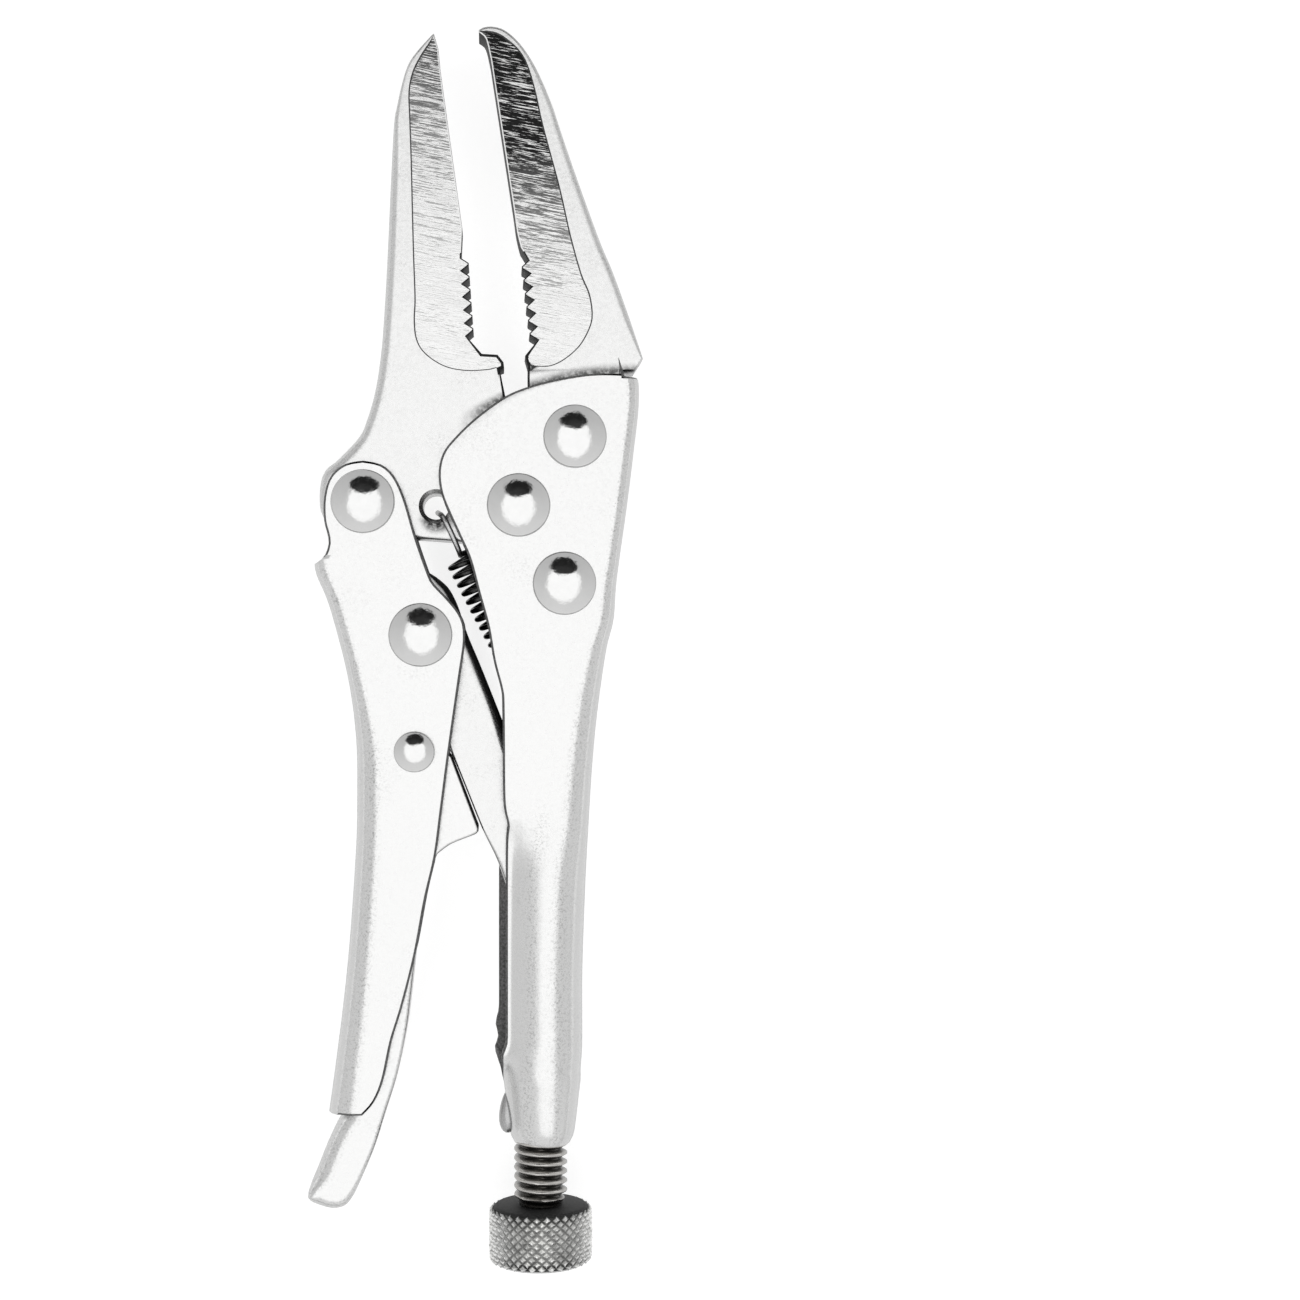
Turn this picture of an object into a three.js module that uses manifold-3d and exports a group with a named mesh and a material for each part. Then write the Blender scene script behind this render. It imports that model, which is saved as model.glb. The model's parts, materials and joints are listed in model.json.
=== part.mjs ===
// Long-nose locking pliers, jaws locked with the adjusting screw backed out.
// Millimetres. The tool lies on its side: +Y points along the nose, +X towards the fixed handle's back, +Z up.
// Everything is drawn about the tool's middle plane, z = 0, and lifted at the end to stand on its lowest point.

import * as THREE from 'three';
import * as BufferGeometryUtils from 'three/addons/utils/BufferGeometryUtils.js';
import Module from 'manifold-3d';

const wasm = await Module();
wasm.setup();

// ---- driving dimensions ----

// Pivot centres in the middle plane.
const JAW_PIVOT = [5.6, 19.3];
const LEVER_PIVOT = [-15.0, 19.7];
const LINK_PIVOT = [-7.4, 2.0];
const RELEASE_PIVOT = [-8.2, -13.5];
const FRONT_RIVET = [13.1, 28.5];
const REAR_RIVET = [11.7, 8.9];
const SPRING_HOLE = [-5.4, 19.2];

// Layers, as distances from the middle plane.
const JAW_HALF = 3.5;
const NOSE_HALF = 3.2;
const WALL_INNER = 3.7;
const SHEET = 1.6;
const WALL_OUTER = WALL_INNER + SHEET;
const LINK_HALF = 2.7;
const RELEASE_HALF = 3.3;
const HEAD_TOP = 7.0;

// Rivets.
const RIVET_HEAD = 4.1;
const SMALL_RIVET_HEAD = 2.6;
const SHANK = 2.4;
const SMALL_SHANK = 1.3;
const PLAY = 0.3;
const HEAD_GAP = 0.12;

// Pressed sheet.
const HANDLE_BEND = 2.6;
const LEVER_BEND = 2.4;
const OPEN_SIDE = 40;
const RUN_ON = 12;
const WEB_SLOT = { y: -16.2, length: 5.2, width: 2.4 };

// Teeth.
const TEETH = 6;
const TOOTH_DEPTH = 0.85;

// Adjusting screw and neck.
const SCREW_X = 8.65;
const SCREW_TIP_Y = -41.8;
const SCREW_R = 3.4;
const NECK_BORE = 3.7;
const NECK_R = 4.75;
const NECK_TOP = -53.5;
const NECK_END = -66.6;
const KNOB_R = 7.1;
const KNOB_TOP = -76.2;
const KNOB_END = -83.9;
const KNOB_CHAMFER = 1.0;
const SOCKET_R = 2.2;
const SOCKET_DEPTH = 5.6;

// Spring.
const WIRE_R = 0.32;
const COIL_R = 1.7;
const COIL_START = [-1.6, 11.6];
const COIL_AXIS = new THREE.Vector3(0.459, -0.888, 0).normalize();
const COIL_PITCH = 1.15;
const COIL_TURNS = 21;
const STEPS_PER_TURN = 8;

const CURVE_STEPS = 2;
const ROUND_STEPS = 28;

// ---- outlines ----

// An outline is a list of runs: a run of one point is a corner, a longer run is a smooth curve through its points.
function outline(...runs) {
  const shape = new THREE.Shape();
  runs.forEach((run, index) => {
    const points = run.map(([x, y]) => new THREE.Vector2(x, y));
    if (index === 0) shape.moveTo(points[0].x, points[0].y);
    else shape.lineTo(points[0].x, points[0].y);
    if (points.length > 1) shape.splineThru(points.slice(1));
  });
  return shape;
}

// The corner points of a row of teeth along the root line from a to b. Side is 1 for tips on the left of that way, -1
// for tips on its right.
function toothRow(a, b, side) {
  const start = new THREE.Vector2(...a);
  const run = new THREE.Vector2(...b).sub(start).divideScalar(TEETH);
  const out = new THREE.Vector2(-run.y, run.x).setLength(TOOTH_DEPTH).multiplyScalar(side);
  const corners = [];
  for (let i = 0; i < TEETH; i += 1) {
    const root = start.clone().addScaledVector(run, i);
    corners.push([[root.x, root.y]]);
    root.addScaledVector(run, 0.5).add(out);
    corners.push([[root.x, root.y]]);
  }
  corners.push([b]);
  return corners;
}

const shifted = (points, dx) => points.map(([x, y]) => [x + dx, y]);

// ---- solids ----

function solid(geometry) {
  const bare = geometry.clone();
  bare.deleteAttribute('normal');
  bare.deleteAttribute('uv');
  const merged = BufferGeometryUtils.mergeVertices(bare, 1e-4);
  const vertProperties = new Float32Array(merged.attributes.position.array);
  const triVerts = new Uint32Array(merged.index.array);
  return new wasm.Manifold(new wasm.Mesh({ numProp: 3, vertProperties, triVerts }));
}

function geometryOf(manifold) {
  const mesh = manifold.getMesh();
  const geometry = new THREE.BufferGeometry();
  geometry.setAttribute('position', new THREE.BufferAttribute(new Float32Array(mesh.vertProperties), 3));
  geometry.setIndex(new THREE.BufferAttribute(new Uint32Array(mesh.triVerts), 1));
  return geometry;
}

// A plate of the given outline, from -half to +half.
function plate(shape, half) {
  const geometry = new THREE.ExtrudeGeometry(shape, {
    depth: 2 * half, bevelEnabled: false, curveSegments: CURVE_STEPS,
  });
  return solid(geometry.translate(0, 0, -half));
}

// The same plate with its edges rounded, its outline kept.
function roundedPlate(shape, half, radius, steps) {
  const geometry = new THREE.ExtrudeGeometry(shape, {
    depth: 2 * (half - radius),
    bevelThickness: radius,
    bevelSize: radius,
    bevelOffset: -radius,
    bevelSegments: steps,
    curveSegments: CURVE_STEPS,
  });
  return solid(geometry.translate(0, 0, -(half - radius)));
}

function slab(x0, x1, y0, y1, half) {
  return plate(outline([[x0, y0]], [[x1, y0]], [[x1, y1]], [[x0, y1]]), half);
}

// A round post through the tool at a pivot.
function post([x, y], radius, half) {
  const geometry = new THREE.CylinderGeometry(radius, radius, 2 * half, ROUND_STEPS);
  return solid(geometry.rotateX(Math.PI / 2).translate(x, y, 0));
}

// A solid of revolution about the screw's axis. The profile runs from the nose end to the knob end as [radius, y].
function turned(profile) {
  const points = profile.map(([radius, y]) => new THREE.Vector2(radius, y)).reverse();
  return solid(new THREE.LatheGeometry(points, ROUND_STEPS).translate(SCREW_X, 0, 0));
}

// ---- pieces ----

// The fixed handle's back, from the jaw end to the neck.
const HANDLE_BACK = [[21.7, 36.5], [21.6, 32.2], [20.1, 19.5], [18.4, 5.0], [16.2, -7.9], [15.0, -24.1],
  [14.4, -43.4], [14.3, -54.5]];

function handleWallOutline() {
  return outline(
    HANDLE_BACK,
    [[4.0, -54.5]],
    [[3.9, -48.0], [3.9, -33.1], [3.9, -23.4], [3.5, -13.1], [3.4, -7.5], [2.3, -1.5], [0.3, 7.5],
      [-2.2, 15.0], [-4.6, 20.9], [-4.7, 25.1], [-1.7, 29.5], [3.7, 33.7], [10.1, 36.0], [16.7, 36.9]],
    [[21.2, 36.9]],
  );
}

// The region on the open side of a back line, carried straight on past both ends of the line.
function behind(points, dx, farX) {
  const line = shifted(points, dx);
  const [topX, topY] = line[0];
  const [endX, endY] = line[line.length - 1];
  return outline(
    [[topX, topY + RUN_ON]], line, [[endX, endY - RUN_ON]], [[farX, endY - RUN_ON]], [[farX, topY + RUN_ON]],
  );
}

function fixedHandle() {
  const shell = roundedPlate(behind(HANDLE_BACK, 0, -OPEN_SIDE), WALL_OUTER, HANDLE_BEND, 4);
  const hollow = roundedPlate(behind(HANDLE_BACK, -SHEET, -OPEN_SIDE - 10), WALL_INNER, HANDLE_BEND - SHEET, 2);
  const walls = plate(handleWallOutline(), WALL_OUTER).intersect(shell).subtract(hollow);
  const neck = turned([
    [0, NECK_TOP], [4.9, NECK_TOP], [NECK_R, NECK_TOP - 3.5], [NECK_R, NECK_END + 1.4], [NECK_BORE + 0.4, NECK_END],
    [0, NECK_END],
  ]);
  const bore = turned([[0, NECK_TOP + 5], [NECK_BORE, NECK_TOP + 5], [NECK_BORE, NECK_END - 5], [0, NECK_END - 5]]);
  const slot = slab(10, 30, WEB_SLOT.y - WEB_SLOT.length, WEB_SLOT.y, WEB_SLOT.width / 2);
  return [JAW_PIVOT, FRONT_RIVET, REAR_RIVET]
    .reduce((body, centre) => body.subtract(post(centre, SHANK + PLAY, 10)), walls.add(neck))
    .subtract(bore)
    .subtract(slot);
}

// The nose is thinner than the root: what lies above the shoulder line is taken down to the nose's thickness.
function thinned(body, shoulder, growth) {
  const keep = plate(shoulder, JAW_HALF + growth);
  const nose = body.intersect(plate(outline([[-50, -10]], [[50, -10]], [[50, 95]], [[-50, 95]]), NOSE_HALF));
  return body.intersect(keep).add(nose);
}

function fixedJaw() {
  const shape = outline(
    [[6.9, 35.3]],
    [[6.9, 38.1], [6.5, 39.5]],
    ...toothRow([8.3, 40.9], [6.9, 52.6], 1),
    [[5.8, 54.6], [5.05, 58.5]],
    [[1.9, 79.1], [1.1, 81.9], [0.3, 82.8]],
    [[0.5, 83.4], [2.0, 83.6], [4.3, 82.8], [6.8, 80.0], [10.2, 73.1], [13.3, 64.0], [18.4, 50.7], [22.4, 39.3]],
    [[21.3, 37.5]],
    [[19.3, 37.5]],
    [[19.2, 35.0], [18.8, 27.8], [17.3, 17.0], [16.1, 7.0], [15.0, 4.6], [11.7, 3.9], [8.4, 5.8], [7.8, 9.0],
      [9.6, 12.6]],
    [[11.6, 17.0], [11.8, 21.0], [10.0, 25.4], [7.5, 29.0]],
  );
  const nose = outline([[-5, -10]], [[30, -10]], [[30, 40]], [[21, 46]], [[12, 40]], [[5, 40]], [[-5, 36]]);
  const body = thinned(plate(shape, JAW_HALF), nose, 1);
  return body
    .subtract(post(FRONT_RIVET, SHANK + PLAY, 10))
    .subtract(post(REAR_RIVET, SHANK + PLAY, 10));
}

function movableJaw() {
  const shape = outline(
    [[-5.7, 82.6]],
    [[-8.0, 80.0], [-9.8, 75.5], [-11.0, 71.1], [-11.6, 60.0], [-12.2, 47.0], [-13.5, 34.7], [-15.7, 28.4],
      [-18.5, 25.4], [-20.6, 22.5], [-20.7, 18.5], [-19.2, 15.8]],
    [[-17.6, 15.2]],
    [[-2.3, 15.0], [1.4, 14.2], [5.6, 13.9], [9.6, 15.8], [10.9, 19.3], [9.9, 23.0], [6.6, 26.2], [4.6, 30.5],
      [3.8, 34.2]],
    [[3.1, 37.6]],
    [[3.7, 37.8]],
    [[2.8, 39.6]],
    [[0.7, 39.7]],
    ...toothRow([-1.3, 41.4], [-2.1, 52.8], -1),
    [[-1.9, 56.5]],
    [[-4.8, 77.5], [-5.1, 80.6]],
  );
  const root = outline([[-30, -10]], [[20, -10]], [[20, 37]], [[4, 37]], [[-6, 38]], [[-14, 44]], [[-30, 44]]);
  return thinned(plate(shape, JAW_HALF), root, 1)
    .subtract(post(JAW_PIVOT, SHANK + PLAY, 10))
    .subtract(post(LEVER_PIVOT, SHANK + PLAY, 10))
    .subtract(post(SPRING_HOLE, 1.7, 10));
}

// The lever's back, from the web's upper end to the lever's lower end.
const LEVER_BACK = [[-21.4, 11.4], [-19.5, 6.3], [-17.0, -3.7], [-15.9, -13.3], [-15.9, -23.8], [-16.9, -39.4],
  [-19.0, -57.4], [-19.7, -62.5]];
const LEVER_WEB_TOP = 11.6;

function clampingLever() {
  const wall = outline(
    [[-17.6, 24.6], [-15.0, 25.1], [-12.0, 24.3], [-9.7, 20.6], [-8.0, 15.0], [-5.7, 8.9], [-2.5, 5.3],
      [-1.5, 2.1], [-2.2, -3.8], [-4.6, -21.4], [-6.7, -33.1], [-9.8, -47.3], [-12.3, -57.0], [-13.7, -60.3],
      [-16.2, -62.2], [-18.6, -61.8], [-19.5, -60.2]],
    [...LEVER_BACK.slice(0, -1)].reverse(),
    [[-20.7, 12.1]],
    [[-19.4, 14.7], [-20.1, 17.6], [-19.8, 21.5]],
  );
  const inner = shifted(LEVER_BACK, SHEET);
  const hollowShape = outline(
    inner,
    [[OPEN_SIDE, inner[inner.length - 1][1]]],
    [[OPEN_SIDE, 40]],
    [[-OPEN_SIDE, 40]],
    [[-OPEN_SIDE, LEVER_WEB_TOP]],
    [[inner[0][0], LEVER_WEB_TOP]],
  );
  const shell = roundedPlate(behind(LEVER_BACK, 0, OPEN_SIDE), WALL_OUTER, LEVER_BEND, 4)
    .add(slab(-OPEN_SIDE, OPEN_SIDE, LEVER_WEB_TOP, OPEN_SIDE, WALL_OUTER));
  const walls = plate(wall, WALL_OUTER).intersect(shell).subtract(plate(hollowShape, WALL_INNER));
  return walls
    .subtract(post(LEVER_PIVOT, SHANK + PLAY, 10))
    .subtract(post(LINK_PIVOT, SHANK + PLAY, 10))
    .subtract(post(RELEASE_PIVOT, SMALL_SHANK + PLAY, 10));
}

function toggleLink() {
  const shape = outline(
    [[-7.4, 6.6], [-4.6, 5.6], [-1.5, 1.8], [0.9, -3.8], [6.6, -18.0], [11.2, -30.5], [11.4, -36.6], [9.8, -39.9],
      [8.0, -40.4], [6.1, -39.0], [3.2, -29.6], [0.4, -23.5], [-3.4, -14.0], [-8.6, -2.4], [-11.7, 0.4],
      [-11.3, 4.6]],
    [[-7.4, 6.6]],
  );
  return plate(shape, LINK_HALF).subtract(post(LINK_PIVOT, SHANK + PLAY, 10));
}

function releaseLever() {
  const shape = outline(
    [[-4.2, -14.6]],
    [[-0.2, -23.5]],
    [[-0.6, -24.6], [-3.7, -26.1], [-5.6, -27.8], [-7.7, -37.4], [-8.7, -46.0], [-10.5, -56.6], [-13.6, -66.5],
      [-16.8, -73.7], [-19.1, -74.5], [-21.4, -73.8], [-22.4, -72.6]],
    [[-19.9, -66.1], [-18.6, -63.0]],
    [[-17.2, -61.2], [-16.6, -56.0], [-15.2, -46.0], [-14.2, -36.0], [-13.7, -24.0], [-12.4, -15.0],
      [-10.6, -11.0], [-8.2, -10.2], [-5.9, -11.4]],
  );
  return roundedPlate(shape, RELEASE_HALF, 0.6, 1).subtract(post(RELEASE_PIVOT, SMALL_SHANK + PLAY, 10));
}

// A rivet closed on both sides, its domed heads ending in a small flat.
function rivet([x, y], headRadius, shank) {
  const under = WALL_OUTER + HEAD_GAP;
  const flat = 0.3 * headRadius;
  const head = [[headRadius, under], [0.97 * headRadius, under + 0.4], [0.8 * headRadius, under + 1.0],
    [0.55 * headRadius, HEAD_TOP - 0.15], [flat, HEAD_TOP]];
  const upper = [[shank, under], ...head, [0, HEAD_TOP]];
  const lower = upper.map(([radius, z]) => [radius, -z]).reverse();
  const profile = [...lower, ...upper].map(([radius, z]) => new THREE.Vector2(radius, z));
  return solid(new THREE.LatheGeometry(profile, ROUND_STEPS).rotateX(Math.PI / 2).translate(x, y, 0));
}

function adjustingScrew() {
  const end = KNOB_TOP - SOCKET_DEPTH + PLAY;
  const stem = SOCKET_R - PLAY;
  return turned([
    [0, SCREW_TIP_Y], [SCREW_R - 0.9, SCREW_TIP_Y], [SCREW_R, SCREW_TIP_Y - 1.2], [SCREW_R, KNOB_TOP + PLAY],
    [stem, KNOB_TOP + PLAY], [stem, end], [0, end],
  ]);
}

function adjustingKnob() {
  const floor = KNOB_TOP - SOCKET_DEPTH;
  const rim = KNOB_R - KNOB_CHAMFER;
  return turned([
    [0, floor], [SOCKET_R, floor], [SOCKET_R, KNOB_TOP], [rim, KNOB_TOP], [KNOB_R, KNOB_TOP - KNOB_CHAMFER],
    [KNOB_R, KNOB_END + KNOB_CHAMFER], [rim, KNOB_END], [0, KNOB_END],
  ]);
}

// The spring: hooked through the hole in the movable jaw, coiled, and hooked through the slot in the handle's back.
class SpringLine extends THREE.Curve {
  constructor() {
    super();
    const start = new THREE.Vector3(...COIL_START, 0);
    const side = new THREE.Vector3(COIL_AXIS.y, -COIL_AXIS.x, 0);
    const up = new THREE.Vector3(0, 0, 1);
    const overFace = JAW_HALF + 2 * WIRE_R;
    const points = [
      new THREE.Vector3(SPRING_HOLE[0] + 0.2, SPRING_HOLE[1] + 0.2, -2.5),
      new THREE.Vector3(SPRING_HOLE[0], SPRING_HOLE[1], 2.2),
      new THREE.Vector3(SPRING_HOLE[0] + 0.5, SPRING_HOLE[1] - 1.6, overFace + 0.2),
      new THREE.Vector3(-3.6, 15.6, overFace + 0.3),
      new THREE.Vector3(-2.4, 13.4, 3.0),
    ];
    const steps = COIL_TURNS * STEPS_PER_TURN;
    for (let i = 0; i <= steps; i += 1) {
      const angle = (2 * Math.PI * i) / STEPS_PER_TURN;
      const along = (COIL_PITCH * i) / STEPS_PER_TURN;
      points.push(start.clone()
        .addScaledVector(COIL_AXIS, along)
        .addScaledVector(up, COIL_R * Math.cos(angle))
        .addScaledVector(side, COIL_R * Math.sin(angle)));
    }
    const end = start.clone().addScaledVector(COIL_AXIS, COIL_PITCH * COIL_TURNS);
    points.push(new THREE.Vector3(end.x + 1.6, end.y - 2.6, 0.9));
    points.push(new THREE.Vector3(13.4, WEB_SLOT.y - 3.2, 0));
    points.push(new THREE.Vector3(15.4, WEB_SLOT.y - 3.4, 0));
    this.line = new THREE.CatmullRomCurve3(points);
    this.steps = points.length - 1;
  }

  getPoint(t, target) {
    return this.line.getPoint(t, target);
  }

  // Steps fall on the points themselves, so that every turn is cut alike.
  getUtoTmapping(u) {
    return u;
  }
}

function tensionSpring() {
  const line = new SpringLine();
  const section = new THREE.Shape().absarc(0, 0, WIRE_R, 0, 2 * Math.PI);
  return solid(new THREE.ExtrudeGeometry(section, {
    steps: line.steps, extrudePath: line, bevelEnabled: false, curveSegments: 2,
  }));
}

// ---- finishes ----

const PLATED = { color: 0xe9eae9, roughness: 0.28, metalness: 0.9 };
const GROUND = { color: 0xd2d3d2, roughness: 0.38, metalness: 0.9 };
const POLISHED = { color: 0xf0f0ef, roughness: 0.12, metalness: 1.0 };
const SPRING_STEEL = { color: 0x5d5c59, roughness: 0.35, metalness: 0.9 };
const RAW_STEEL = { color: 0x8e8c88, roughness: 0.42, metalness: 0.95 };

const pieces = [
  ['fixed_handle', fixedHandle(), PLATED],
  ['fixed_jaw', fixedJaw(), GROUND],
  ['movable_jaw', movableJaw(), GROUND],
  ['clamping_lever', clampingLever(), PLATED],
  ['toggle_link', toggleLink(), PLATED],
  ['release_lever', releaseLever(), PLATED],
  ['tension_spring', tensionSpring(), SPRING_STEEL],
  ['adjusting_screw', adjustingScrew(), RAW_STEEL],
  ['adjusting_knob', adjustingKnob(), RAW_STEEL],
  ['fixed_jaw_front_rivet', rivet(FRONT_RIVET, RIVET_HEAD, SHANK), POLISHED],
  ['fixed_jaw_rear_rivet', rivet(REAR_RIVET, RIVET_HEAD, SHANK), POLISHED],
  ['jaw_pivot_rivet', rivet(JAW_PIVOT, RIVET_HEAD, SHANK), POLISHED],
  ['lever_pivot_rivet', rivet(LEVER_PIVOT, RIVET_HEAD, SHANK), POLISHED],
  ['link_pivot_rivet', rivet(LINK_PIVOT, RIVET_HEAD, SHANK), POLISHED],
  ['release_pivot_rivet', rivet(RELEASE_PIVOT, SMALL_RIVET_HEAD, SMALL_SHANK), POLISHED],
];

const pliers = new THREE.Group();
for (const [name, body, finish] of pieces) {
  const mesh = new THREE.Mesh(geometryOf(body), new THREE.MeshStandardMaterial(finish));
  mesh.name = name;
  pliers.add(mesh);
}

// The origin is the middle of the box's bottom face.
const box = new THREE.Box3().setFromObject(pliers);
const centre = box.getCenter(new THREE.Vector3());
pliers.position.set(-centre.x, -centre.y, -box.min.z);

export default pliers;
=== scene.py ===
import json
import math

import bmesh
import bpy
import numpy as np
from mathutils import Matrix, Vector


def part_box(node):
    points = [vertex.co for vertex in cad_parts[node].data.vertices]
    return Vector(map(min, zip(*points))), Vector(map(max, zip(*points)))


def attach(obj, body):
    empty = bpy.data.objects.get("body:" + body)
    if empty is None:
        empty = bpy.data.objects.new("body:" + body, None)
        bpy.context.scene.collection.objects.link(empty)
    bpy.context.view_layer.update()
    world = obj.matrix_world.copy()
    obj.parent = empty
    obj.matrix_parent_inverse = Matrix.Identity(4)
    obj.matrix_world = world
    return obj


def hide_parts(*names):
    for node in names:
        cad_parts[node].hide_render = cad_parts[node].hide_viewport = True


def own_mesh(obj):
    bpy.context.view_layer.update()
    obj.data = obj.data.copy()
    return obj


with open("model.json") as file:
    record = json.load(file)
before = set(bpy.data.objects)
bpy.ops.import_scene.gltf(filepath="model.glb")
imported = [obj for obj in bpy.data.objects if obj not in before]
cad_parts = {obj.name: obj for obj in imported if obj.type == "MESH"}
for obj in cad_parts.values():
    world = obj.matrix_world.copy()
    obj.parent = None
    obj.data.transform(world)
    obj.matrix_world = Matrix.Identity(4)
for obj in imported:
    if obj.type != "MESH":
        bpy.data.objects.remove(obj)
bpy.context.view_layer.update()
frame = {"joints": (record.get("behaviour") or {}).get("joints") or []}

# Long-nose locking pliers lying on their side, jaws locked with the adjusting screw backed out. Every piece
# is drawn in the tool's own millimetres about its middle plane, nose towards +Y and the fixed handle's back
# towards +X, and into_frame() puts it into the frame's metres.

# ---- the frame ----

MM = 0.001
JOINTS = {joint["name"]: joint for joint in frame["joints"]}
JAW_PIVOT = np.array([5.6, 19.3])
ORIGIN = np.array(JOINTS["jaw_swing"]["pos_m"]) / MM - np.array([*JAW_PIVOT, 0.0])


def pivot(joint):
    """A hinge's centre, in the tool's millimetres."""
    return (np.array(JOINTS[joint]["pos_m"]) / MM - ORIGIN)[:2]


def centre_of(node):
    """The middle of a CAD node's box, in the tool's millimetres."""
    low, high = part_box(node)
    return ((np.array(low) + np.array(high)) / 2 / MM - ORIGIN)[:2]


LEVER_PIVOT = pivot("lever_swing")
LINK_PIVOT = pivot("link_swing")
RELEASE_PIVOT = pivot("release_press")
FRONT_RIVET = centre_of("fixed_jaw_front_rivet")
REAR_RIVET = centre_of("fixed_jaw_rear_rivet")
SCREW_X = pivot("knob_turn")[0]

# ---- sizes, in millimetres ----

JAW_HALF = 3.5
GROUND_STEP = 0.3
STEP_WIDTH = 0.17
NOSE_TAPER = 0.0032
NOSE_START = 38.0
WALL_OUTER = 5.3
SHEET = 1.5
LINK_HALF = 2.6
RELEASE_HALF = 3.3
HEAD_UNDER = 5.34
HEAD_TOP = 7.0
RIVET_HEAD = 4.1
SMALL_RIVET_HEAD = 2.6
DOME_TILT = math.radians(29)
SHANK = 2.4
SMALL_SHANK = 1.3
PIVOT_PLAY = 0.1
DRILL_HALF = 9.0
NECK_X = 8.86
NECK_LEAN = 0.6
NECK_END = -66.6
SCREW_TIP = -41.8
THREAD_R = 3.6
THREAD_DEPTH = 0.7
THREAD_PITCH = 1.25
KNOB_R = 7.05
KNOB_TOP = -75.1
KNOB_END = -82.85
KNOB_CHAMFER = 0.35
KNOB_SHOULDER = 0.15
KNURL_ROUND = 32
KNURL_ROWS = 6
KNURL_RISE = 0.42
KNURL_SEED = 7
TEETH = 6
TOOTH_DEPTH = 1.0
TOOTH_RISE_ENDS = 0.42
TOOTH_FALL_STARTS = 0.58
SPRING_HOLE = np.array([-5.4, 19.2])
COIL_START = np.array([-2.25, 12.8, 0.0])
COIL_AXIS = np.array([0.459, -0.888, 0.0])
COIL_R = 1.95
COIL_PITCH = 1.3
COIL_TURNS = 19
WIRE_R = 0.37

# ---- drawing ----

STEP = 0.7
SHARPEST = 0.06
EASING = 0.45
EASING_PASSES = 3
TIGHTEST_MITRE = 0.35


def smooth(points, step=STEP):
    """Points about a step apart along a smooth curve through the given ones."""
    given = np.array(points, float)
    padded = np.vstack([given[0], given, given[-1]])
    out = [given[0]]
    for a, b, c, d in zip(padded, padded[1:], padded[2:], padded[3:]):
        count = max(2, int(np.ceil(np.linalg.norm(c - b) / step)))
        for t in np.arange(1, count + 1) / count:
            square = (2 * a - 5 * b + 4 * c - d) * t**2
            cube = (3 * b - a - 3 * c + d) * t**3
            out.append(0.5 * (2 * b + (c - a) * t + square + cube))
    return np.array(out)


def straight(a, b):
    """Points along a straight line from a to b, without its ends."""
    count = max(1, int(np.ceil(np.linalg.norm(np.subtract(b, a)) / STEP)))
    return np.array([np.add(a, np.subtract(b, a) * i / count) for i in range(1, count)]).reshape(-1, len(a))


def closed_outline(*runs):
    """Joins runs of (rounding, points) into one closed line, and gives its points and the rounding at each.

    A run of one point is a corner, and a longer one is smooth.
    """
    points = []
    rounding = []
    for radius, run in runs:
        line = smooth(run) if len(run) > 1 else np.array(run, float)
        radii = np.full(len(line), radius) if isinstance(radius, float) else spread(radius, run, line)
        if points:
            between = straight(points[-1], line[0])
            points.extend(between)
            rounding.extend(np.linspace(rounding[-1], radii[0], len(between) + 2)[1:-1])
        points.extend(line)
        rounding.extend(radii)
    between = straight(points[-1], points[0])
    points.extend(between)
    rounding.extend(np.linspace(rounding[-1], rounding[0], len(between) + 2)[1:-1])
    return np.array(points), np.array(rounding)


def spread(radii, run, line):
    """The roundings given at a run's own points, spread over its smooth line."""
    places = [nearest(line, point) for point in run]
    return np.interp(np.arange(len(line)), places, radii)


def tooth_row(a, b, side):
    """Corner runs of a row of teeth along the root line from a to b, tips on its left for side 1."""
    run = np.subtract(b, a) / TEETH
    out = np.array([-run[1], run[0]]) / np.linalg.norm(run) * TOOTH_DEPTH * side
    corners = []
    for i in range(TEETH):
        root = a + run * i
        corners.append(root)
        corners.append(root + TOOTH_RISE_ENDS * run + out)
        corners.append(root + TOOTH_FALL_STARTS * run + out)
    corners.append(np.array(b, float))
    return [(SHARPEST, [corner]) for corner in corners]


def inward(points):
    """Mitred inward directions of a closed line that runs anticlockwise."""
    ahead = np.roll(points, -1, axis=0) - points
    ahead /= np.maximum(np.linalg.norm(ahead, axis=1), 1e-9)[:, None]
    behind = np.roll(ahead, 1, axis=0)
    left = np.stack([-ahead[:, 1], ahead[:, 0]], axis=1)
    left_behind = np.roll(left, 1, axis=0)
    total = left + left_behind
    share = np.maximum(1 + np.sum(left * left_behind, axis=1), TIGHTEST_MITRE)
    sideways = behind[:, 0] * ahead[:, 1] - behind[:, 1] * ahead[:, 0]
    turn = np.arctan2(sideways, np.sum(behind * ahead, axis=1))
    return total / share[:, None], turn


def eased(points, rounding, turn):
    """Rounding held under the line's own curvature, changing gently along it."""
    length = np.linalg.norm(np.roll(points, -1, axis=0) - points, axis=1)
    span = (length + np.roll(length, 1)) / 2
    room = np.where(turn > 0.02, 0.8 * span / np.maximum(turn, 1e-3), 1e9)
    out = np.minimum(rounding, np.maximum(room, SHARPEST))
    for _ in range(EASING_PASSES):
        for order in (range(len(out)), range(len(out) - 1, -1, -1)):
            for i in order:
                back = i - 1
                on = (i + 1) % len(out)
                out[i] = min(out[i], out[back] + EASING * length[back], out[on] + EASING * length[i])
    return out


def area_of(points):
    x = points[:, 0]
    y = points[:, 1]
    return 0.5 * np.sum(x * np.roll(y, -1) - np.roll(x, -1) * y)


# ---- bodies ----

ROUND_STEPS = 5
FLAT_BAND = 0.1
FULL_PEBBLE = 0.5
GROUND = 1
STEP_WALL = 2
SHADE_SLOT = 3


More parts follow.
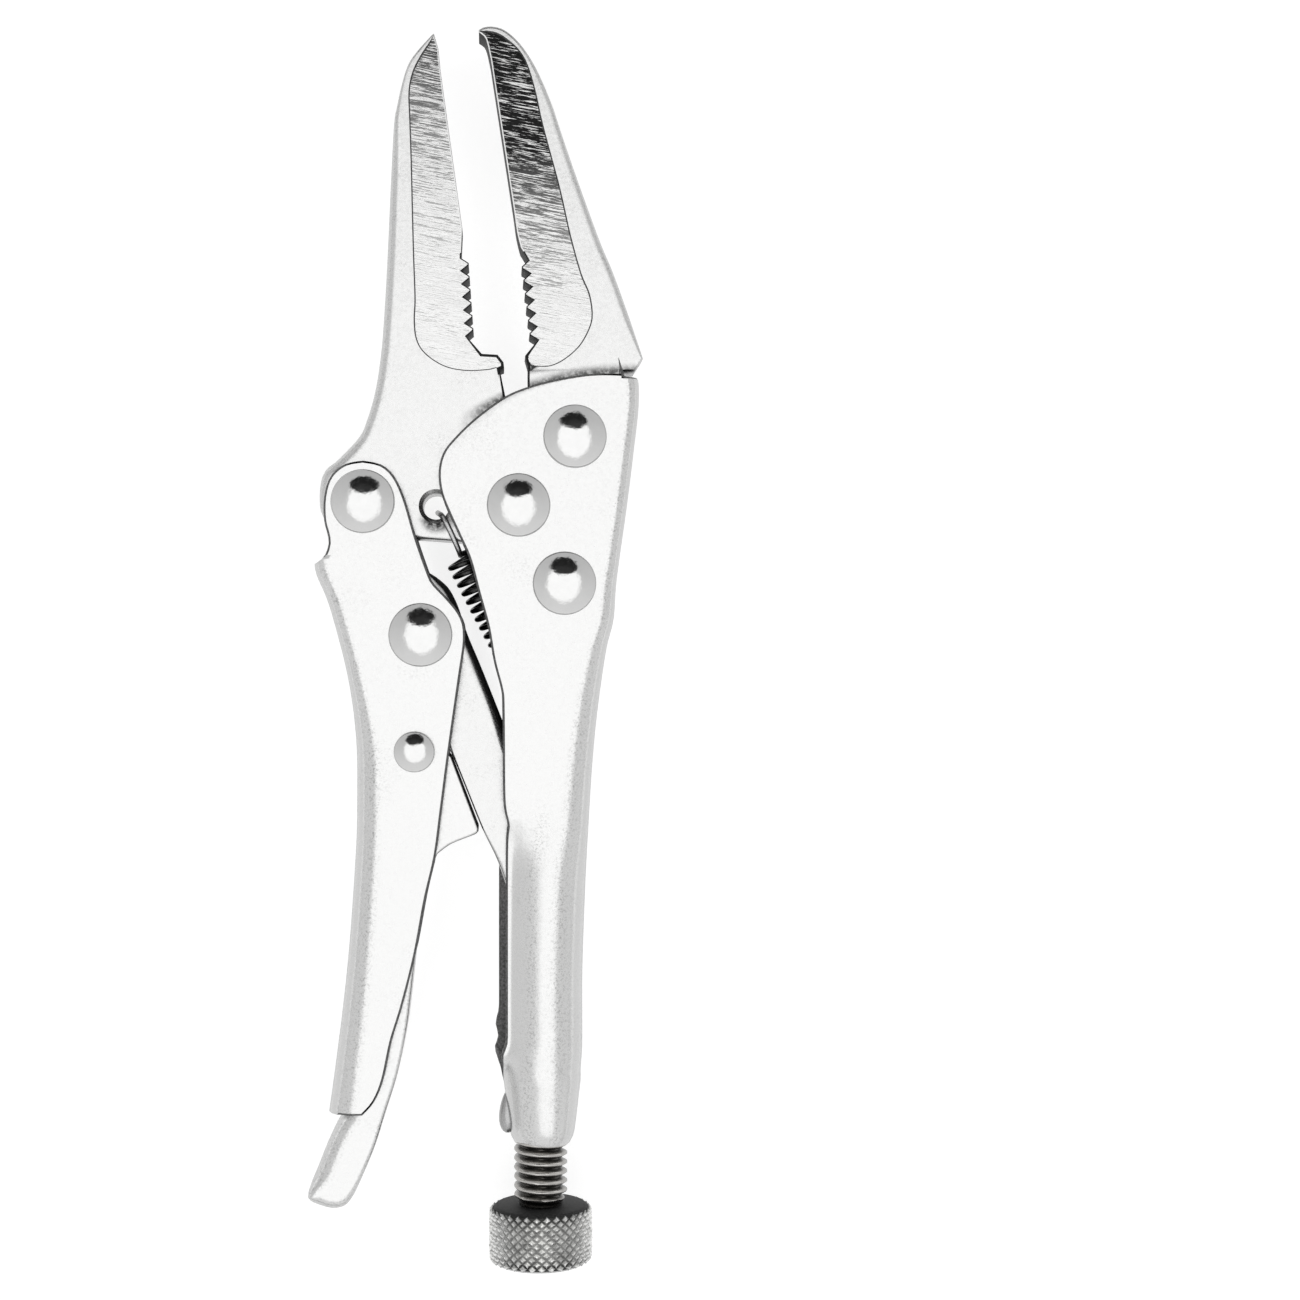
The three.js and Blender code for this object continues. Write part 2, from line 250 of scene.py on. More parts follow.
def edge_steps():
    """The way over a rounded edge from the wall to the face: shares of its radius inwards and downwards, the
    extra inset, and how coarse the plating is there."""
    steps = []
    for k in range(ROUND_STEPS + 1):
        angle = math.pi / 2 * k / ROUND_STEPS
        steps.append((1 - math.cos(angle), 1 - math.sin(angle), 0.0, 0.2 + 0.6 * math.sin(2 * angle)))
    steps.append((1.0, 0.0, FLAT_BAND, 0.0))
    return steps


def edge_rings(bm, points, direction, radius, height):
    """Rings of corners from the upper face, down round the wall, to the lower face."""
    bend = bm.verts.layers.float.new("bend")
    rings = []
    for side in (1, -1):
        made = []
        for inset, drop, extra, weight in edge_steps():
            ring = []
            for i in range(len(points)):
                x, y = points[i] + direction[i] * (radius[i] * inset + extra)
                vert = bm.verts.new((x, y, side * (height[i] - radius[i] * drop)))
                vert[bend] = weight * min(1.0, radius[i] / FULL_PEBBLE)
                ring.append(vert)
            made.append(ring)
        rings.extend(reversed(made) if side == 1 else made)
    return rings


def close_ground_face(bm, ring, side, half, index, line):
    """Closes a face in three: the ground part, the rest a step higher, and the step between them."""
    last = index[-1]
    low = [ring[i] for i in index]
    rest = [ring[i % len(ring)] for i in range(last + 1, last + 1 + len(ring) - len(index))]
    inner = [bm.verts.new((x, y, side * (half - GROUND_STEP))) for x, y in line]
    outer = [bm.verts.new((x, y, side * half)) for x, y in offset_line(line, STEP_WIDTH)]
    lower_chain = [low[0], *inner, low[-1]]
    upper_chain = [rest[-1], *outer, rest[0]]
    ground_loop = low + inner[::-1]
    bm.faces.new(ground_loop[::side]).material_index = GROUND
    bm.faces.new((rest + outer)[::side])
    for corners in zip(lower_chain, lower_chain[1:], upper_chain[1:], upper_chain):
        bm.faces.new(corners).material_index = STEP_WALL


def rounded_body(points, rounding, half, pad=None):
    """A flat body of the given outline with rounded edges, from -half to +half.

    pad is (first, last, line): between those two points of the outline the face is ground lower, up to the
    line, which runs over the face from the first point to the last.
    """
    if area_of(points) < 0:
        raise ValueError("outlines run anticlockwise")
    count = len(points)
    height = np.full(count, half)
    if pad:
        first, last, line = pad
        index = np.arange(first, first + (last - first) % count + 1) % count
        height[index] = half - GROUND_STEP
    direction, turn = inward(points)
    bm = bmesh.new()
    rings = edge_rings(bm, points, direction, eased(points, rounding, turn), height)
    for upper, lower in zip(rings, rings[1:]):
        for i in range(count):
            j = (i + 1) % count
            bm.faces.new((upper[i], lower[i], lower[j], upper[j]))
    for ring, side in ((rings[0], 1), (rings[-1], -1)):
        if pad:
            close_ground_face(bm, ring, side, half, index, line)
        else:
            bm.faces.new(ring[::side])
    bmesh.ops.recalc_face_normals(bm, faces=bm.faces)
    return bm


def offset_line(line, distance):
    """An open line moved sideways, to its left for a positive distance."""
    line = np.array(line, float)
    ahead = np.gradient(line, axis=0)
    ahead /= np.linalg.norm(ahead, axis=1)[:, None]
    return line + np.stack([-ahead[:, 1], ahead[:, 0]], axis=1) * distance


def nearest(points, target):
    return int(np.argmin(np.linalg.norm(points - np.array(target), axis=1)))


def turned(profile, centre, axis="Z", segments=72):
    """A solid of revolution. The profile is (radius, height) pairs that start and end on the axis."""
    bm = bmesh.new()
    rings = []
    for radius, height in profile:
        if radius < 1e-6:
            rings.append([bm.verts.new(spot(0, 0, height, centre, axis))])
            continue
        ring = []
        for i in range(segments):
            angle = 2 * math.pi * i / segments
            u = radius * math.cos(angle)
            v = radius * math.sin(angle)
            ring.append(bm.verts.new(spot(u, v, height, centre, axis)))
        rings.append(ring)
    for low, high in zip(rings, rings[1:]):
        for i in range(segments):
            j = (i + 1) % segments
            corners = [low[i % len(low)], low[j % len(low)], high[j % len(high)], high[i % len(high)]]
            bm.faces.new(dict.fromkeys(corners))
    bmesh.ops.recalc_face_normals(bm, faces=bm.faces)
    return bm


def spot(u, v, height, centre, axis):
    if axis == "Z":
        return (centre[0] + u, centre[1] + v, height)
    return (centre[0] + u, height, v)


def into_frame(bm):
    """Moves a body drawn in the tool's millimetres into the frame."""
    for vert in bm.verts:
        vert.co = (vert.co + Vector(ORIGIN)) * MM


def add_object(name, data):
    made = bpy.data.objects.new(name, data)
    bpy.context.scene.collection.objects.link(made)
    return made


def as_object(bm, name):
    """An object in the frame from a body drawn in the tool's millimetres."""
    into_frame(bm)
    mesh = bpy.data.meshes.new(name)
    bm.to_mesh(mesh)
    bm.free()
    return add_object(name, mesh)


def place(bm, name, materials, body, nodes, sharp=40):
    """Turns a body drawn in millimetres into a finished piece in the frame."""
    piece = as_object(bm, name)
    for material in materials:
        piece.data.materials.append(material)
    finish_piece(piece, body, nodes, sharp)
    return piece


def finish_piece(piece, body, nodes, sharp=40):
    mesh = piece.data
    mesh.polygons.foreach_set("use_smooth", [True] * len(mesh.polygons))
    mesh.set_sharp_from_angle(angle=math.radians(sharp))
    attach(piece, body)
    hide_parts(*nodes)


def drill(piece, centre, radius, countersink=0.0):
    """Cuts a round hole through a piece, with a countersink on both faces of a jaw if wanted."""
    profile = [(0, -DRILL_HALF), (radius, -DRILL_HALF), (radius, DRILL_HALF), (0, DRILL_HALF)]
    if countersink:
        wide = radius + countersink
        neck = JAW_HALF - countersink
        profile = [(0, -DRILL_HALF), (wide, -DRILL_HALF), (wide, -JAW_HALF), (radius, -neck), (radius, neck),
                   (wide, JAW_HALF), (wide, DRILL_HALF), (0, DRILL_HALF)]
    cutter = as_object(turned(profile, centre, segments=48), "cutter")
    cut = piece.modifiers.new("hole", "BOOLEAN")
    cut.operation = "DIFFERENCE"
    cut.solver = "EXACT"
    cut.object = cutter
    cut.material_mode = "INDEX"
    bake_modifiers(piece)
    cutter_mesh = cutter.data
    bpy.data.objects.remove(cutter)
    bpy.data.meshes.remove(cutter_mesh)


def bake_modifiers(piece):
    """Replaces a piece's mesh with what its modifiers make of it."""
    bpy.context.view_layer.update()
    old = piece.data
    made = bpy.data.meshes.new_from_object(piece.evaluated_get(bpy.context.evaluated_depsgraph_get()))
    piece.modifiers.clear()
    piece.data = made
    made.name = piece.name
    bpy.data.meshes.remove(old)


# ---- pressed sheet ----

FLAT_COLUMNS = 12
BEND_COLUMNS = 10
WEB_COLUMNS = 4
CROWN_LIP = 0.12
CROWN_CURVE = 1.35
CROWN_PEBBLE = {"least": 0.12, "more": 0.7, "middle": 0.66, "width": 0.13}
BEND_PEBBLE = {"least": 0.15, "more": 0.75, "middle": 0.34, "width": 0.2}
RIM = 0.3
RIM_ANGLE = math.radians(62)
# Rim faces above this y take the dark sheared-edge finish, partly painted shade.
RIM_DARK_TO = -60.0
RIM_SLOT = 1
INNER_SLOT = 2
WELD = 0.004
WELD_FINE = 0.0005


def at(y, table):
    """A size that varies along the tool, from (y, size) pairs in falling y."""
    ys = [row[0] for row in table][::-1]
    sizes = [row[1] for row in table][::-1]
    return float(np.interp(y, ys, sizes))


def pebbling(spot_across, band):
    """How coarse the plating is at a place across the sheet, coarsest in the middle of a band."""
    away = (spot_across - band["middle"]) / band["width"]
    return band["least"] + band["more"] * math.exp(-away ** 2)


def half_section(edge, back, side, bend, depth, drop, closing=0.0, neck_radius=0.0):
    """One side of a channel's outer surface, from its open edge over the flat and bend to the web's middle.

    closing is how far the channel has been closed into the round neck.
    """
    start = np.array([back[0] - side * bend, back[1]])
    section = []
    crown = min(1.0, drop)
    for u in np.linspace(0, 1, FLAT_COLUMNS):
        x, y = edge + (start - edge) * u
        height = WALL_OUTER - drop * (1 - max(u, CROWN_LIP)) ** CROWN_CURVE
        section.append((x, y, height, crown * pebbling(u, CROWN_PEBBLE)))
    for angle in np.linspace(0, math.pi / 2, BEND_COLUMNS)[1:]:
        height = WALL_OUTER - depth * (1 - math.cos(angle))
        x = start[0] + side * bend * math.sin(angle)
        section.append((x, start[1], height, pebbling(angle, BEND_PEBBLE)))
    for share in np.linspace(1, 0, WEB_COLUMNS)[1:]:
        section.append((back[0], back[1], (WALL_OUTER - depth) * share, BEND_PEBBLE["least"]))
    section = np.array(section)
    if closing > 0:
        angles = np.concatenate([np.linspace(math.pi, math.pi / 2, FLAT_COLUMNS),
                                 np.linspace(math.pi / 2, 0, BEND_COLUMNS + WEB_COLUMNS - 1)[1:]])
        closed = section.copy()
        closed[:, 0] = NECK_X + neck_radius * np.cos(angles) + NECK_LEAN * np.sin(angles) ** 2
        closed[:, 1] = back[1]
        closed[:, 2] = neck_radius * np.sin(angles)
        section[:, :3] = section[:, :3] * (1 - closing) + closed[:, :3] * closing
    return section


def sheet_body(near, far, omit):
    """A bent sheet from the near and far half sections of each station. omit says which faces stay open."""
    bm = bmesh.new()
    bend = bm.verts.layers.float.new("bend")
    grid = []
    for upper, lower in zip(near, far):
        mirrored = lower[::-1][1:] * np.array([1, 1, -1, 1])
        row = []
        for x, y, z, weight in np.vstack([upper, mirrored]):
            vert = bm.verts.new((x, y, z))
            vert[bend] = weight
            row.append(vert)
        grid.append(row)
    for i, (above, below) in enumerate(zip(grid, grid[1:])):
        for j in range(len(above) - 1):
            middle = (above[j].co + below[j + 1].co) / 2
            if not omit(i, j, middle):
                bm.faces.new((above[j], below[j], below[j + 1], above[j + 1]))
    bmesh.ops.delete(bm, geom=[v for v in bm.verts if not v.link_faces], context="VERTS")
    bmesh.ops.remove_doubles(bm, verts=bm.verts, dist=WELD)
    return bm


def thicken(bm, thickness, outward_hint, square=lambda co: False):
    """Gives the sheet its thickness, inwards, and rounds its rims, except where square says.

    thickness and square are functions of the place.
    """
    bmesh.ops.recalc_face_normals(bm, faces=bm.faces)
    bm.normal_update()
    outward = Vector(outward_hint)
    probe = max(bm.faces, key=lambda face: face.calc_center_median().dot(outward))
    if probe.normal.dot(outward) < 0:
        bmesh.ops.reverse_faces(bm, faces=bm.faces)
        bm.normal_update()
    layer = bm.verts.layers.float["bend"]
    outer_faces = list(bm.faces)
    rims = [edge for edge in bm.edges if edge.is_boundary]
    inner = {}
    for vert in list(bm.verts):
        inner[vert] = bm.verts.new(vert.co - vert.normal * thickness(vert.co))
        inner[vert][layer] = vert[layer]
    for face in outer_faces:
        # Painted shade: the inner faces take the dark inner finish.
        bm.faces.new([inner[v] for v in reversed(face.verts)]).material_index = INNER_SLOT
    for edge in rims:
        loop = edge.link_loops[0]
        a = loop.vert
        b = loop.link_loop_next.vert
        # The rims take the dark sheared-edge finish, partly painted shade.
        rim = bm.faces.new((b, a, inner[a], inner[b]))
        rim.material_index = RIM_SLOT if a.co.y > RIM_DARK_TO else 0
    bm.normal_update()
    corners = [edge for edge in bm.edges if len(edge.link_faces) == 2 and edge.calc_face_angle(0) > RIM_ANGLE
               and not square((edge.verts[0].co + edge.verts[1].co) / 2)]
    # The rim roundings take the same dark finish, partly painted shade.
    bmesh.ops.bevel(bm, geom=corners, offset=RIM, segments=3, profile=0.5, affect="EDGES",
                    clamp_overlap=False, material=RIM_SLOT)


# ---- formulas in node trees ----


def feed(tree, socket, value):
    """Gives a node's input a plain value, or a socket or reading to follow."""
    if isinstance(value, Reading):
        value = value.socket
    if isinstance(value, bpy.types.NodeSocket):
        tree.links.new(value, socket)
    else:
        socket.default_value = value


def add_node(tree, kind, inputs=(), **settings):
    """A new node with its settings, and its inputs given by name or number."""
    node = tree.nodes.new(kind)
    for key, value in settings.items():
        setattr(node, key, value)
    for key, value in dict(inputs).items():
        feed(tree, node.inputs[key], value)
    return node


class Reading:
    """A number that a node gives out. Sums written with it become nodes of its tree."""

    def __init__(self, tree, socket):
        self.tree = tree
        self.socket = socket

    def worked(self, operation, *values):
        node = add_node(self.tree, "ShaderNodeMath", enumerate(values), operation=operation)
        return Reading(self.tree, node.outputs[0])

    def range(self, low, high, out_low=0.0, out_high=1.0, smooth_step=True):
        """This number's place between low and high, stretched to lie between the two others."""
        limits = {"Value": self, "From Min": low, "From Max": high, "To Min": out_low, "To Max": out_high}
        kind = "SMOOTHSTEP" if smooth_step else "LINEAR"
        node = add_node(self.tree, "ShaderNodeMapRange", limits, interpolation_type=kind)
        return Reading(self.tree, node.outputs[0])

    def least(self, other):
        return self.worked("MINIMUM", self, other)

    def most(self, other):
        return self.worked("MAXIMUM", self, other)

    def __add__(self, other):
        return self.worked("ADD", self, other)

    def __radd__(self, other):
        return self.worked("ADD", other, self)

    def __sub__(self, other):
        return self.worked("SUBTRACT", self, other)

    def __rsub__(self, other):
        return self.worked("SUBTRACT", other, self)

    def __mul__(self, other):
        return self.worked("MULTIPLY", self, other)

    def __truediv__(self, other):
        return self.worked("DIVIDE", self, other)

    def __mod__(self, other):
        return self.worked("MODULO", self, other)

    def __pow__(self, other):
        return self.worked("POWER", self, other)

    def __abs__(self):
        return self.worked("ABSOLUTE", self)


# ---- finishes ----


class Finish:
    """A surface finish being made: its shader, and nodes wired into it one by one."""

    def __init__(self, name, colour, roughness, metallic=1.0):
        self.material = bpy.data.materials.new(name)
        self.material.use_nodes = True
        self.tree = self.material.node_tree
        self.shader = self.tree.nodes["Principled BSDF"]
        self.set("Base Color", (*colour, 1))
        self.set("Roughness", roughness)
        self.set("Metallic", metallic)
        self.place = add_node(self.tree, "ShaderNodeTexCoord").outputs["Object"]

    def set(self, name, value):
        feed(self.tree, self.shader.inputs[name], value)

    def grain(self, size, detail=2.0, roughness=0.5, stretch=(1, 1, 1), turn=0.0):
        """Noise with grains about that many millimetres across, divided by the stretch along each axis."""
        mapping = add_node(self.tree, "ShaderNodeMapping", {"Vector": self.place, "Rotation": (0, 0, turn)})
        scaled = add_node(self.tree, "ShaderNodeVectorMath", {0: mapping.outputs[0], 1: stretch},
                          operation="MULTIPLY")
        inputs = {"Vector": scaled.outputs[0], "Scale": 1 / (size * MM), "Detail": detail,
                  "Roughness": roughness}
        noise = add_node(self.tree, "ShaderNodeTexNoise", inputs)
        return Reading(self.tree, noise.outputs["Fac"])

    def mix(self, factor, a, b):
        """A colour between two others, each a grey, a colour or a socket."""
        shades = []
        for shade in (a, b):
            if isinstance(shade, float):
                shade = (shade, shade, shade)
            shades.append((*shade, 1) if isinstance(shade, tuple) else shade)
        inputs = {"Factor": factor, 6: shades[0], 7: shades[1]}
        return add_node(self.tree, "ShaderNodeMix", inputs, data_type="RGBA").outputs[2]

    def along(self, axis):
        """The place along one axis, in the tool's millimetres."""
        part = "XYZ".index(axis)
        split = add_node(self.tree, "ShaderNodeSeparateXYZ", {0: self.place})
        return Reading(self.tree, split.outputs[part]) / MM - float(ORIGIN[part])

    def bend(self):
        """How hard the metal was worked at each place."""
        node = add_node(self.tree, "ShaderNodeAttribute", attribute_name="bend")
        return Reading(self.tree, node.outputs["Fac"])

    def painted_edge_shade(self, colour, dimmest):
        """Painted shade: dims a colour where the surface turns away from the view, most towards an outline."""
        weight = add_node(self.tree, "ShaderNodeLayerWeight", {"Blend": 0.5})
        facing = Reading(self.tree, weight.outputs["Facing"])
        painted_shade_share = facing.range(0.2, 0.42, 0.0, 0.52) + facing.range(0.66, 1.0, 0.0, 0.45)
        return self.mix(painted_shade_share, colour, dimmest)

    def bump(self, height, depth):
        """Bump of that depth in millimetres, added over any bump wired before."""
        inputs = {"Distance": depth * MM, "Strength": 1.0, "Height": height}
        node = add_node(self.tree, "ShaderNodeBump", inputs)
        before = self.shader.inputs["Normal"]
        if before.is_linked:
            feed(self.tree, node.inputs["Normal"], before.links[0].from_socket)
        feed(self.tree, before, node.outputs["Normal"])


PLATING = (0.93, 0.93, 0.925)


def plated_sheet():
    """Bright nickel over pressed steel: nearly smooth on the flats, pebbled and speckled where it is bent, with
    painted shade towards its outlines.
    """
    finish = Finish("bright_plated_sheet", PLATING, 0.22)
    bend = finish.bend()
    worked = bend + (finish.grain(9.0, 2.0).range(0.5, 0.72) * 0.25 + 0.02)
    pebble = finish.grain(0.42, 3.0, 0.6)
    specks = finish.grain(0.32, 3.0, 0.7).range(0.48, 0.66)
    speckled = finish.mix(specks * (worked * 0.75).least(1.0), (0.95, 0.95, 0.945), (0.48, 0.48, 0.475))
    finish.set("Base Color", finish.painted_edge_shade(speckled, 0.2))
    finish.set("Roughness", pebble.range(0.3, 0.7, 0.17, 0.28))
    finish.bump(finish.grain(1.6, 2.0), 0.008)
    finish.bump(pebble * (0.4 + bend.least(0.6)), 0.017)
    return finish.material


LIP_END = (19.6, 36.9)
LIP_CURVE = 0.0145


def lip_shadow_mask(finish):
    """How near a place is to the line where the fixed handle's top edge lies on the jaws, 1 on the line: the mask
    of a painted shadow.
    """
    x = finish.along("X")
    lip = LIP_END[1] - (LIP_END[0] - x) ** 2.0 * LIP_CURVE
    gap = abs(finish.along("Y") - lip)
    return gap.range(0.5, 1.9, 1.0, 0.0) * x.range(-3.0, 2.0)


def hole_shade_mask(finish):
    """How near a place is to the lower lip of the movable jaw's spring hole: the mask of painted shade in the
    hole's recess.
    """
    across = finish.along("X") - float(SPRING_HOLE[0] + 0.1)
    below = finish.along("Y") - float(SPRING_HOLE[1] - 1.9)
    away = (across * 0.75) ** 2.0 + below ** 2.0
    return away.worked("SQRT", away).range(0.8, 2.1, 1.0, 0.0)


def plated_forging():
    """Satin nickel over a forged face: a cast skin with soft grey pits, with painted shadow by the handle's lip
    and painted shade by the spring hole.
    """
    finish = Finish("satin_plated_forging", PLATING, 0.25)
    skin = finish.grain(0.45, 4.0, 0.65)
    pits = finish.grain(0.3, 3.0, 0.7).range(0.5, 0.66)
    patches = finish.grain(5.0, 3.0).range(0.45, 0.7)
    pitted = finish.mix(pits * (patches * 0.25 + finish.bend() * 0.4), PLATING, (0.35, 0.35, 0.345))
    # Painted shadow along the handle's lip and painted shade at the spring hole's lower lip, broken up by noise.
    painted_shadow = (lip_shadow_mask(finish) * 0.9).most(hole_shade_mask(finish))
    broken_painted_shadow = painted_shadow * finish.grain(0.6, 3.0, 0.65).range(0.3, 0.6, 0.55, 1.0)
    finish.set("Base Color", finish.painted_edge_shade(finish.mix(broken_painted_shadow, pitted, 0.03), 0.2))
    finish.set("Roughness", skin.range(0.3, 0.7, 0.2, 0.3))
    finish.bump(skin, 0.009)
    finish.bump(finish.grain(2.4, 2.0), 0.01)
    return finish.material


def ground_face(name, clear_below, dark_above, darkest_reflection):
    """A face ground across the nose: fine crossing scratches, with a painted reflection darkening between them
    towards the tip.
    """
    finish = Finish(name, (0.88, 0.88, 0.87), 0.3)
    tilt = math.radians(10)
    scratches = finish.grain(0.17, 3.0, 0.75, stretch=(0.055, 1, 1), turn=tilt)
    fine = scratches.range(0.38, 0.62, smooth_step=False)
    broad = finish.grain(0.9, 3.0, 0.6, stretch=(0.1, 1, 1), turn=tilt)
    # Painted reflection: the dark between the scratches grows towards the tip.
    dark = finish.along("Y").range(clear_below, dark_above, 0.0, darkest_reflection, smooth_step=False)
    threshold = (1.06 - dark * 0.86) + broad.range(0.35, 0.65, -0.22, 0.22, smooth_step=False)
    shade = fine.range(threshold - 0.09, threshold + 0.09) * (0.4 + dark * 0.6)
    finish.set("Base Color", finish.mix(shade, (0.94, 0.94, 0.935), 0.02))
    finish.set("Roughness", broad.range(0.3, 0.7, 0.14, 0.26))
    finish.bump(fine, 0.006)
    return finish.material


def dull_edge_and_painted_shade(name, shade):
    """A dull dark surface: on sheared edges partly their own dull finish and partly painted shade; painted shade
    on inner sheet faces, walls between teeth, steps, gap walls and the knob's top face.
    """
    finish = Finish(name, (shade, shade, shade), 0.6, metallic=0.0)
    finish.set("Specular IOR Level", 0.2)
    grain = finish.grain(0.3, 3.0, 0.6)
    finish.set("Base Color", finish.mix(grain.range(0.35, 0.7), shade, shade * 2.2))
    finish.bump(grain, 0.01)
    return finish.material


def polished_rivet():
    """Polished plating, slightly uneven from the riveting, with painted shade towards its outline."""
    finish = Finish("polished_rivet", (0.95, 0.95, 0.945), 0.07)
    plating = finish.mix(finish.grain(1.0), (0.97, 0.97, 0.965), (0.9, 0.9, 0.895))
    finish.set("Base Color", finish.painted_edge_shade(plating, 0.1))
    finish.set("Roughness", finish.grain(0.8, 3.0).range(0.3, 0.7, 0.05, 0.12))
    finish.bump(finish.grain(1.1, 2.0), 0.03)
    return finish.material


def drawn_metal(name, dark, light):
    """Metal with a fine grain between two greys, with painted shade darkening it towards its outline."""
    finish = Finish(name, (light, light, light), 0.3)
    grain = finish.grain(0.12, 2.0)
    finish.set("Base Color", finish.painted_edge_shade(finish.mix(grain.range(0.35, 0.7), dark, light), dark * 0.3))
    finish.bump(grain, 0.008)
    return finish.material


def bare_steel(name, light, dark, hollow, crest, outline, blotch):
    """Bare steel about the screw's axis, with painted shade making its hollows near black while its crests stay
    bright, dirt blotches, and painted shade towards its outline.
    """
    finish = Finish(name, light, 0.3)
    square = (finish.along("X") - float(SCREW_X)) ** 2.0 + finish.along("Z") ** 2.0
    out = square.worked("SQRT", square)
    depth = crest - hollow
    uneven = out + finish.grain(0.5, 3.0, 0.65) * (depth * 0.5)
    # Painted shade: the colour goes from dark in the hollows to light on the crests.
    crest_share = uneven.range(hollow + depth * 0.25, crest + depth * 0.25)
    dirt = finish.grain(1.0, 3.0, 0.7).range(0.46, 0.6) * blotch
    dirt_and_hollow_shade = finish.mix(dirt, finish.mix(crest_share, dark, light), dark)
    finish.set("Base Color", finish.painted_edge_shade(dirt_and_hollow_shade, outline))
    turning = finish.grain(0.15, 2.0, stretch=(0.2, 1, 0.2))
    finish.set("Roughness", turning.range(0.3, 0.7, 0.18, 0.34))
    finish.bump(turning, 0.006)
    return finish.material


SHEET_FINISH = plated_sheet()
FORGED_FINISH = plated_forging()
FIXED_GROUND = ground_face("ground_fixed_nose", 42.0, 67.0, 1.0)
MOVABLE_GROUND = ground_face("ground_movable_nose", 50.0, 80.0, 0.82)
# Dark finishes: the sheared rims are partly dull edge and partly painted shade; the inner sheet, tooth and gap
# walls and black knob face are painted shade.
RIM_FINISH = dull_edge_and_painted_shade("sheared_sheet_edge", 0.1)
INNER_SHADE_FINISH = dull_edge_and_painted_shade("dull_inner_sheet", 0.13)
STEP_FINISH = dull_edge_and_painted_shade("step_shadow", 0.06)
WALL_SHADE_FINISH = dull_edge_and_painted_shade("oily_tooth_walls", 0.014)
RIVET_FINISH = polished_rivet()
BEAD_FINISH = drawn_metal("dulled_seam_bead", 0.5, 0.68)
COIL_FINISH = drawn_metal("oiled_spring_wire", 0.03, 0.12)
HOOK_FINISH = drawn_metal("rubbed_spring_wire", 0.5, 0.9)
SCREW_FINISH = bare_steel("bare_screw_steel", (0.72, 0.7, 0.67), (0.07, 0.066, 0.06),
                          THREAD_R - THREAD_DEPTH, THREAD_R, outline=0.08, blotch=0.0)
KNURL_FINISH = bare_steel("knurled_steel", (0.97, 0.97, 0.95), (0.05, 0.05, 0.048),
                          KNOB_R - 1.25 * KNURL_RISE, KNOB_R - 0.65 * KNURL_RISE, outline=0.55, blotch=0.42)
BLACK_SHADE_FINISH = dull_edge_and_painted_shade("oily_black_face", 0.015)
SHEET_MATERIALS = [SHEET_FINISH, RIM_FINISH, INNER_SHADE_FINISH]

# ---- fixed handle ----

HANDLE_EDGE = [[19.6, 36.9], [16.7, 36.95], [13.8, 36.7], [10.1, 36.0], [6.9, 35.1], [3.7, 33.7],
               [-0.1, 30.9],
               [-2.8, 28.3], [-4.4, 26.2], [-5.0, 23.7], [-4.7, 20.9], [-3.7, 18.3], [-2.2, 15.0],
               [-0.9, 12.0],
               [0.3, 7.5], [1.5, 3.1], [2.3, -1.5], [3.3, -5.4], [3.45, -7.8], [3.5, -13.1],
               [3.6, -20.4], [4.15, -23.4],
               [3.95, -25.5], [3.9, -33.1], [3.9, -48.0], [3.85, -52.7], [3.3, -54.2], [3.5, -57.1],
               [4.0, -60.9], [4.6, -63.5], [5.1, NECK_END]]
HANDLE_BACK = [[21.5, 36.6], [21.75, 35.6], [21.7, 32.2], [21.1, 26.9], [20.2, 19.6], [18.8, 9.5],
               [18.4, 4.2],
               [17.4, -0.1], [16.3, -7.9], [15.6, -15.1], [15.05, -24.1], [14.7, -31.8], [14.3, -43.6],
               [14.25, -54.3], [13.6, -57.6], [13.3, -60.0], [13.2, -63.2], [12.6, NECK_END]]
HANDLE_BEND = [(36, 1.9), (11, 2.0), (4, 2.4), (-6, 3.4), (-17, 3.9), (-24, 4.1), (-30, 5.2)]
HANDLE_BEND_DEPTH = [(36, 1.9), (11, 2.0), (4, 2.4), (-6, 3.2), (-17, 3.6), (-24, 3.8), (-32, 5.2)]
CROWN_DROP = [(-19.5, 0.0), (-22.5, 0.6), (-25.5, 1.6), (-29, 2.2), (-53, 2.3)]
NECK_RADIUS = [(-53, 5.5), (-57.5, 5.35), (-60, 5.0), (-62.3, 4.75), (-65, 4.4), (-66.1, 4.1), (-66.6, 3.75)]
FINE_STEP = 0.4
HANDLE_TOP = 36.6
EDGE_TURN = 20.9
CLOSING = (-54.0, 5.0)
NECK_THINNING = 0.6
FAR_REACH = 0.9
FAR_REACH_GROWS = (-23.5, 1.5)
FAR_BULGE = 0.45
FAR_BULGE_Y = -50.9
FAR_BULGE_WIDTH = 1.2
TOP_EDGE_ROWS = 46
LOWER_ROWS = 108
WEB_SLOT = {"top": -16.2, "bottom": -21.4, "half": 1.2, "behind": 10}
SEAM_BEAD = {"x": 4.2, "y": -62.5, "half": 2.9, "radius": 1.15, "segments": 28}


def resample(line, count):
    """That many points evenly along a line."""
    steps = np.linalg.norm(np.diff(line, axis=0), axis=1)
    travelled = np.concatenate([[0], np.cumsum(steps)])
    wanted = np.linspace(0, travelled[-1], count)
    return np.stack([np.interp(wanted, travelled, line[:, k]) for k in range(line.shape[1])], axis=1)


def x_at(line, y):
    order = np.argsort(line[:, 1])
    return float(np.interp(y, line[order, 1], line[order, 0]))


def below(y, start, run):
    """How far y lies below the start, as a share of the run, from 0 to 1."""
    return float(np.clip((start - y) / run, 0, 1))


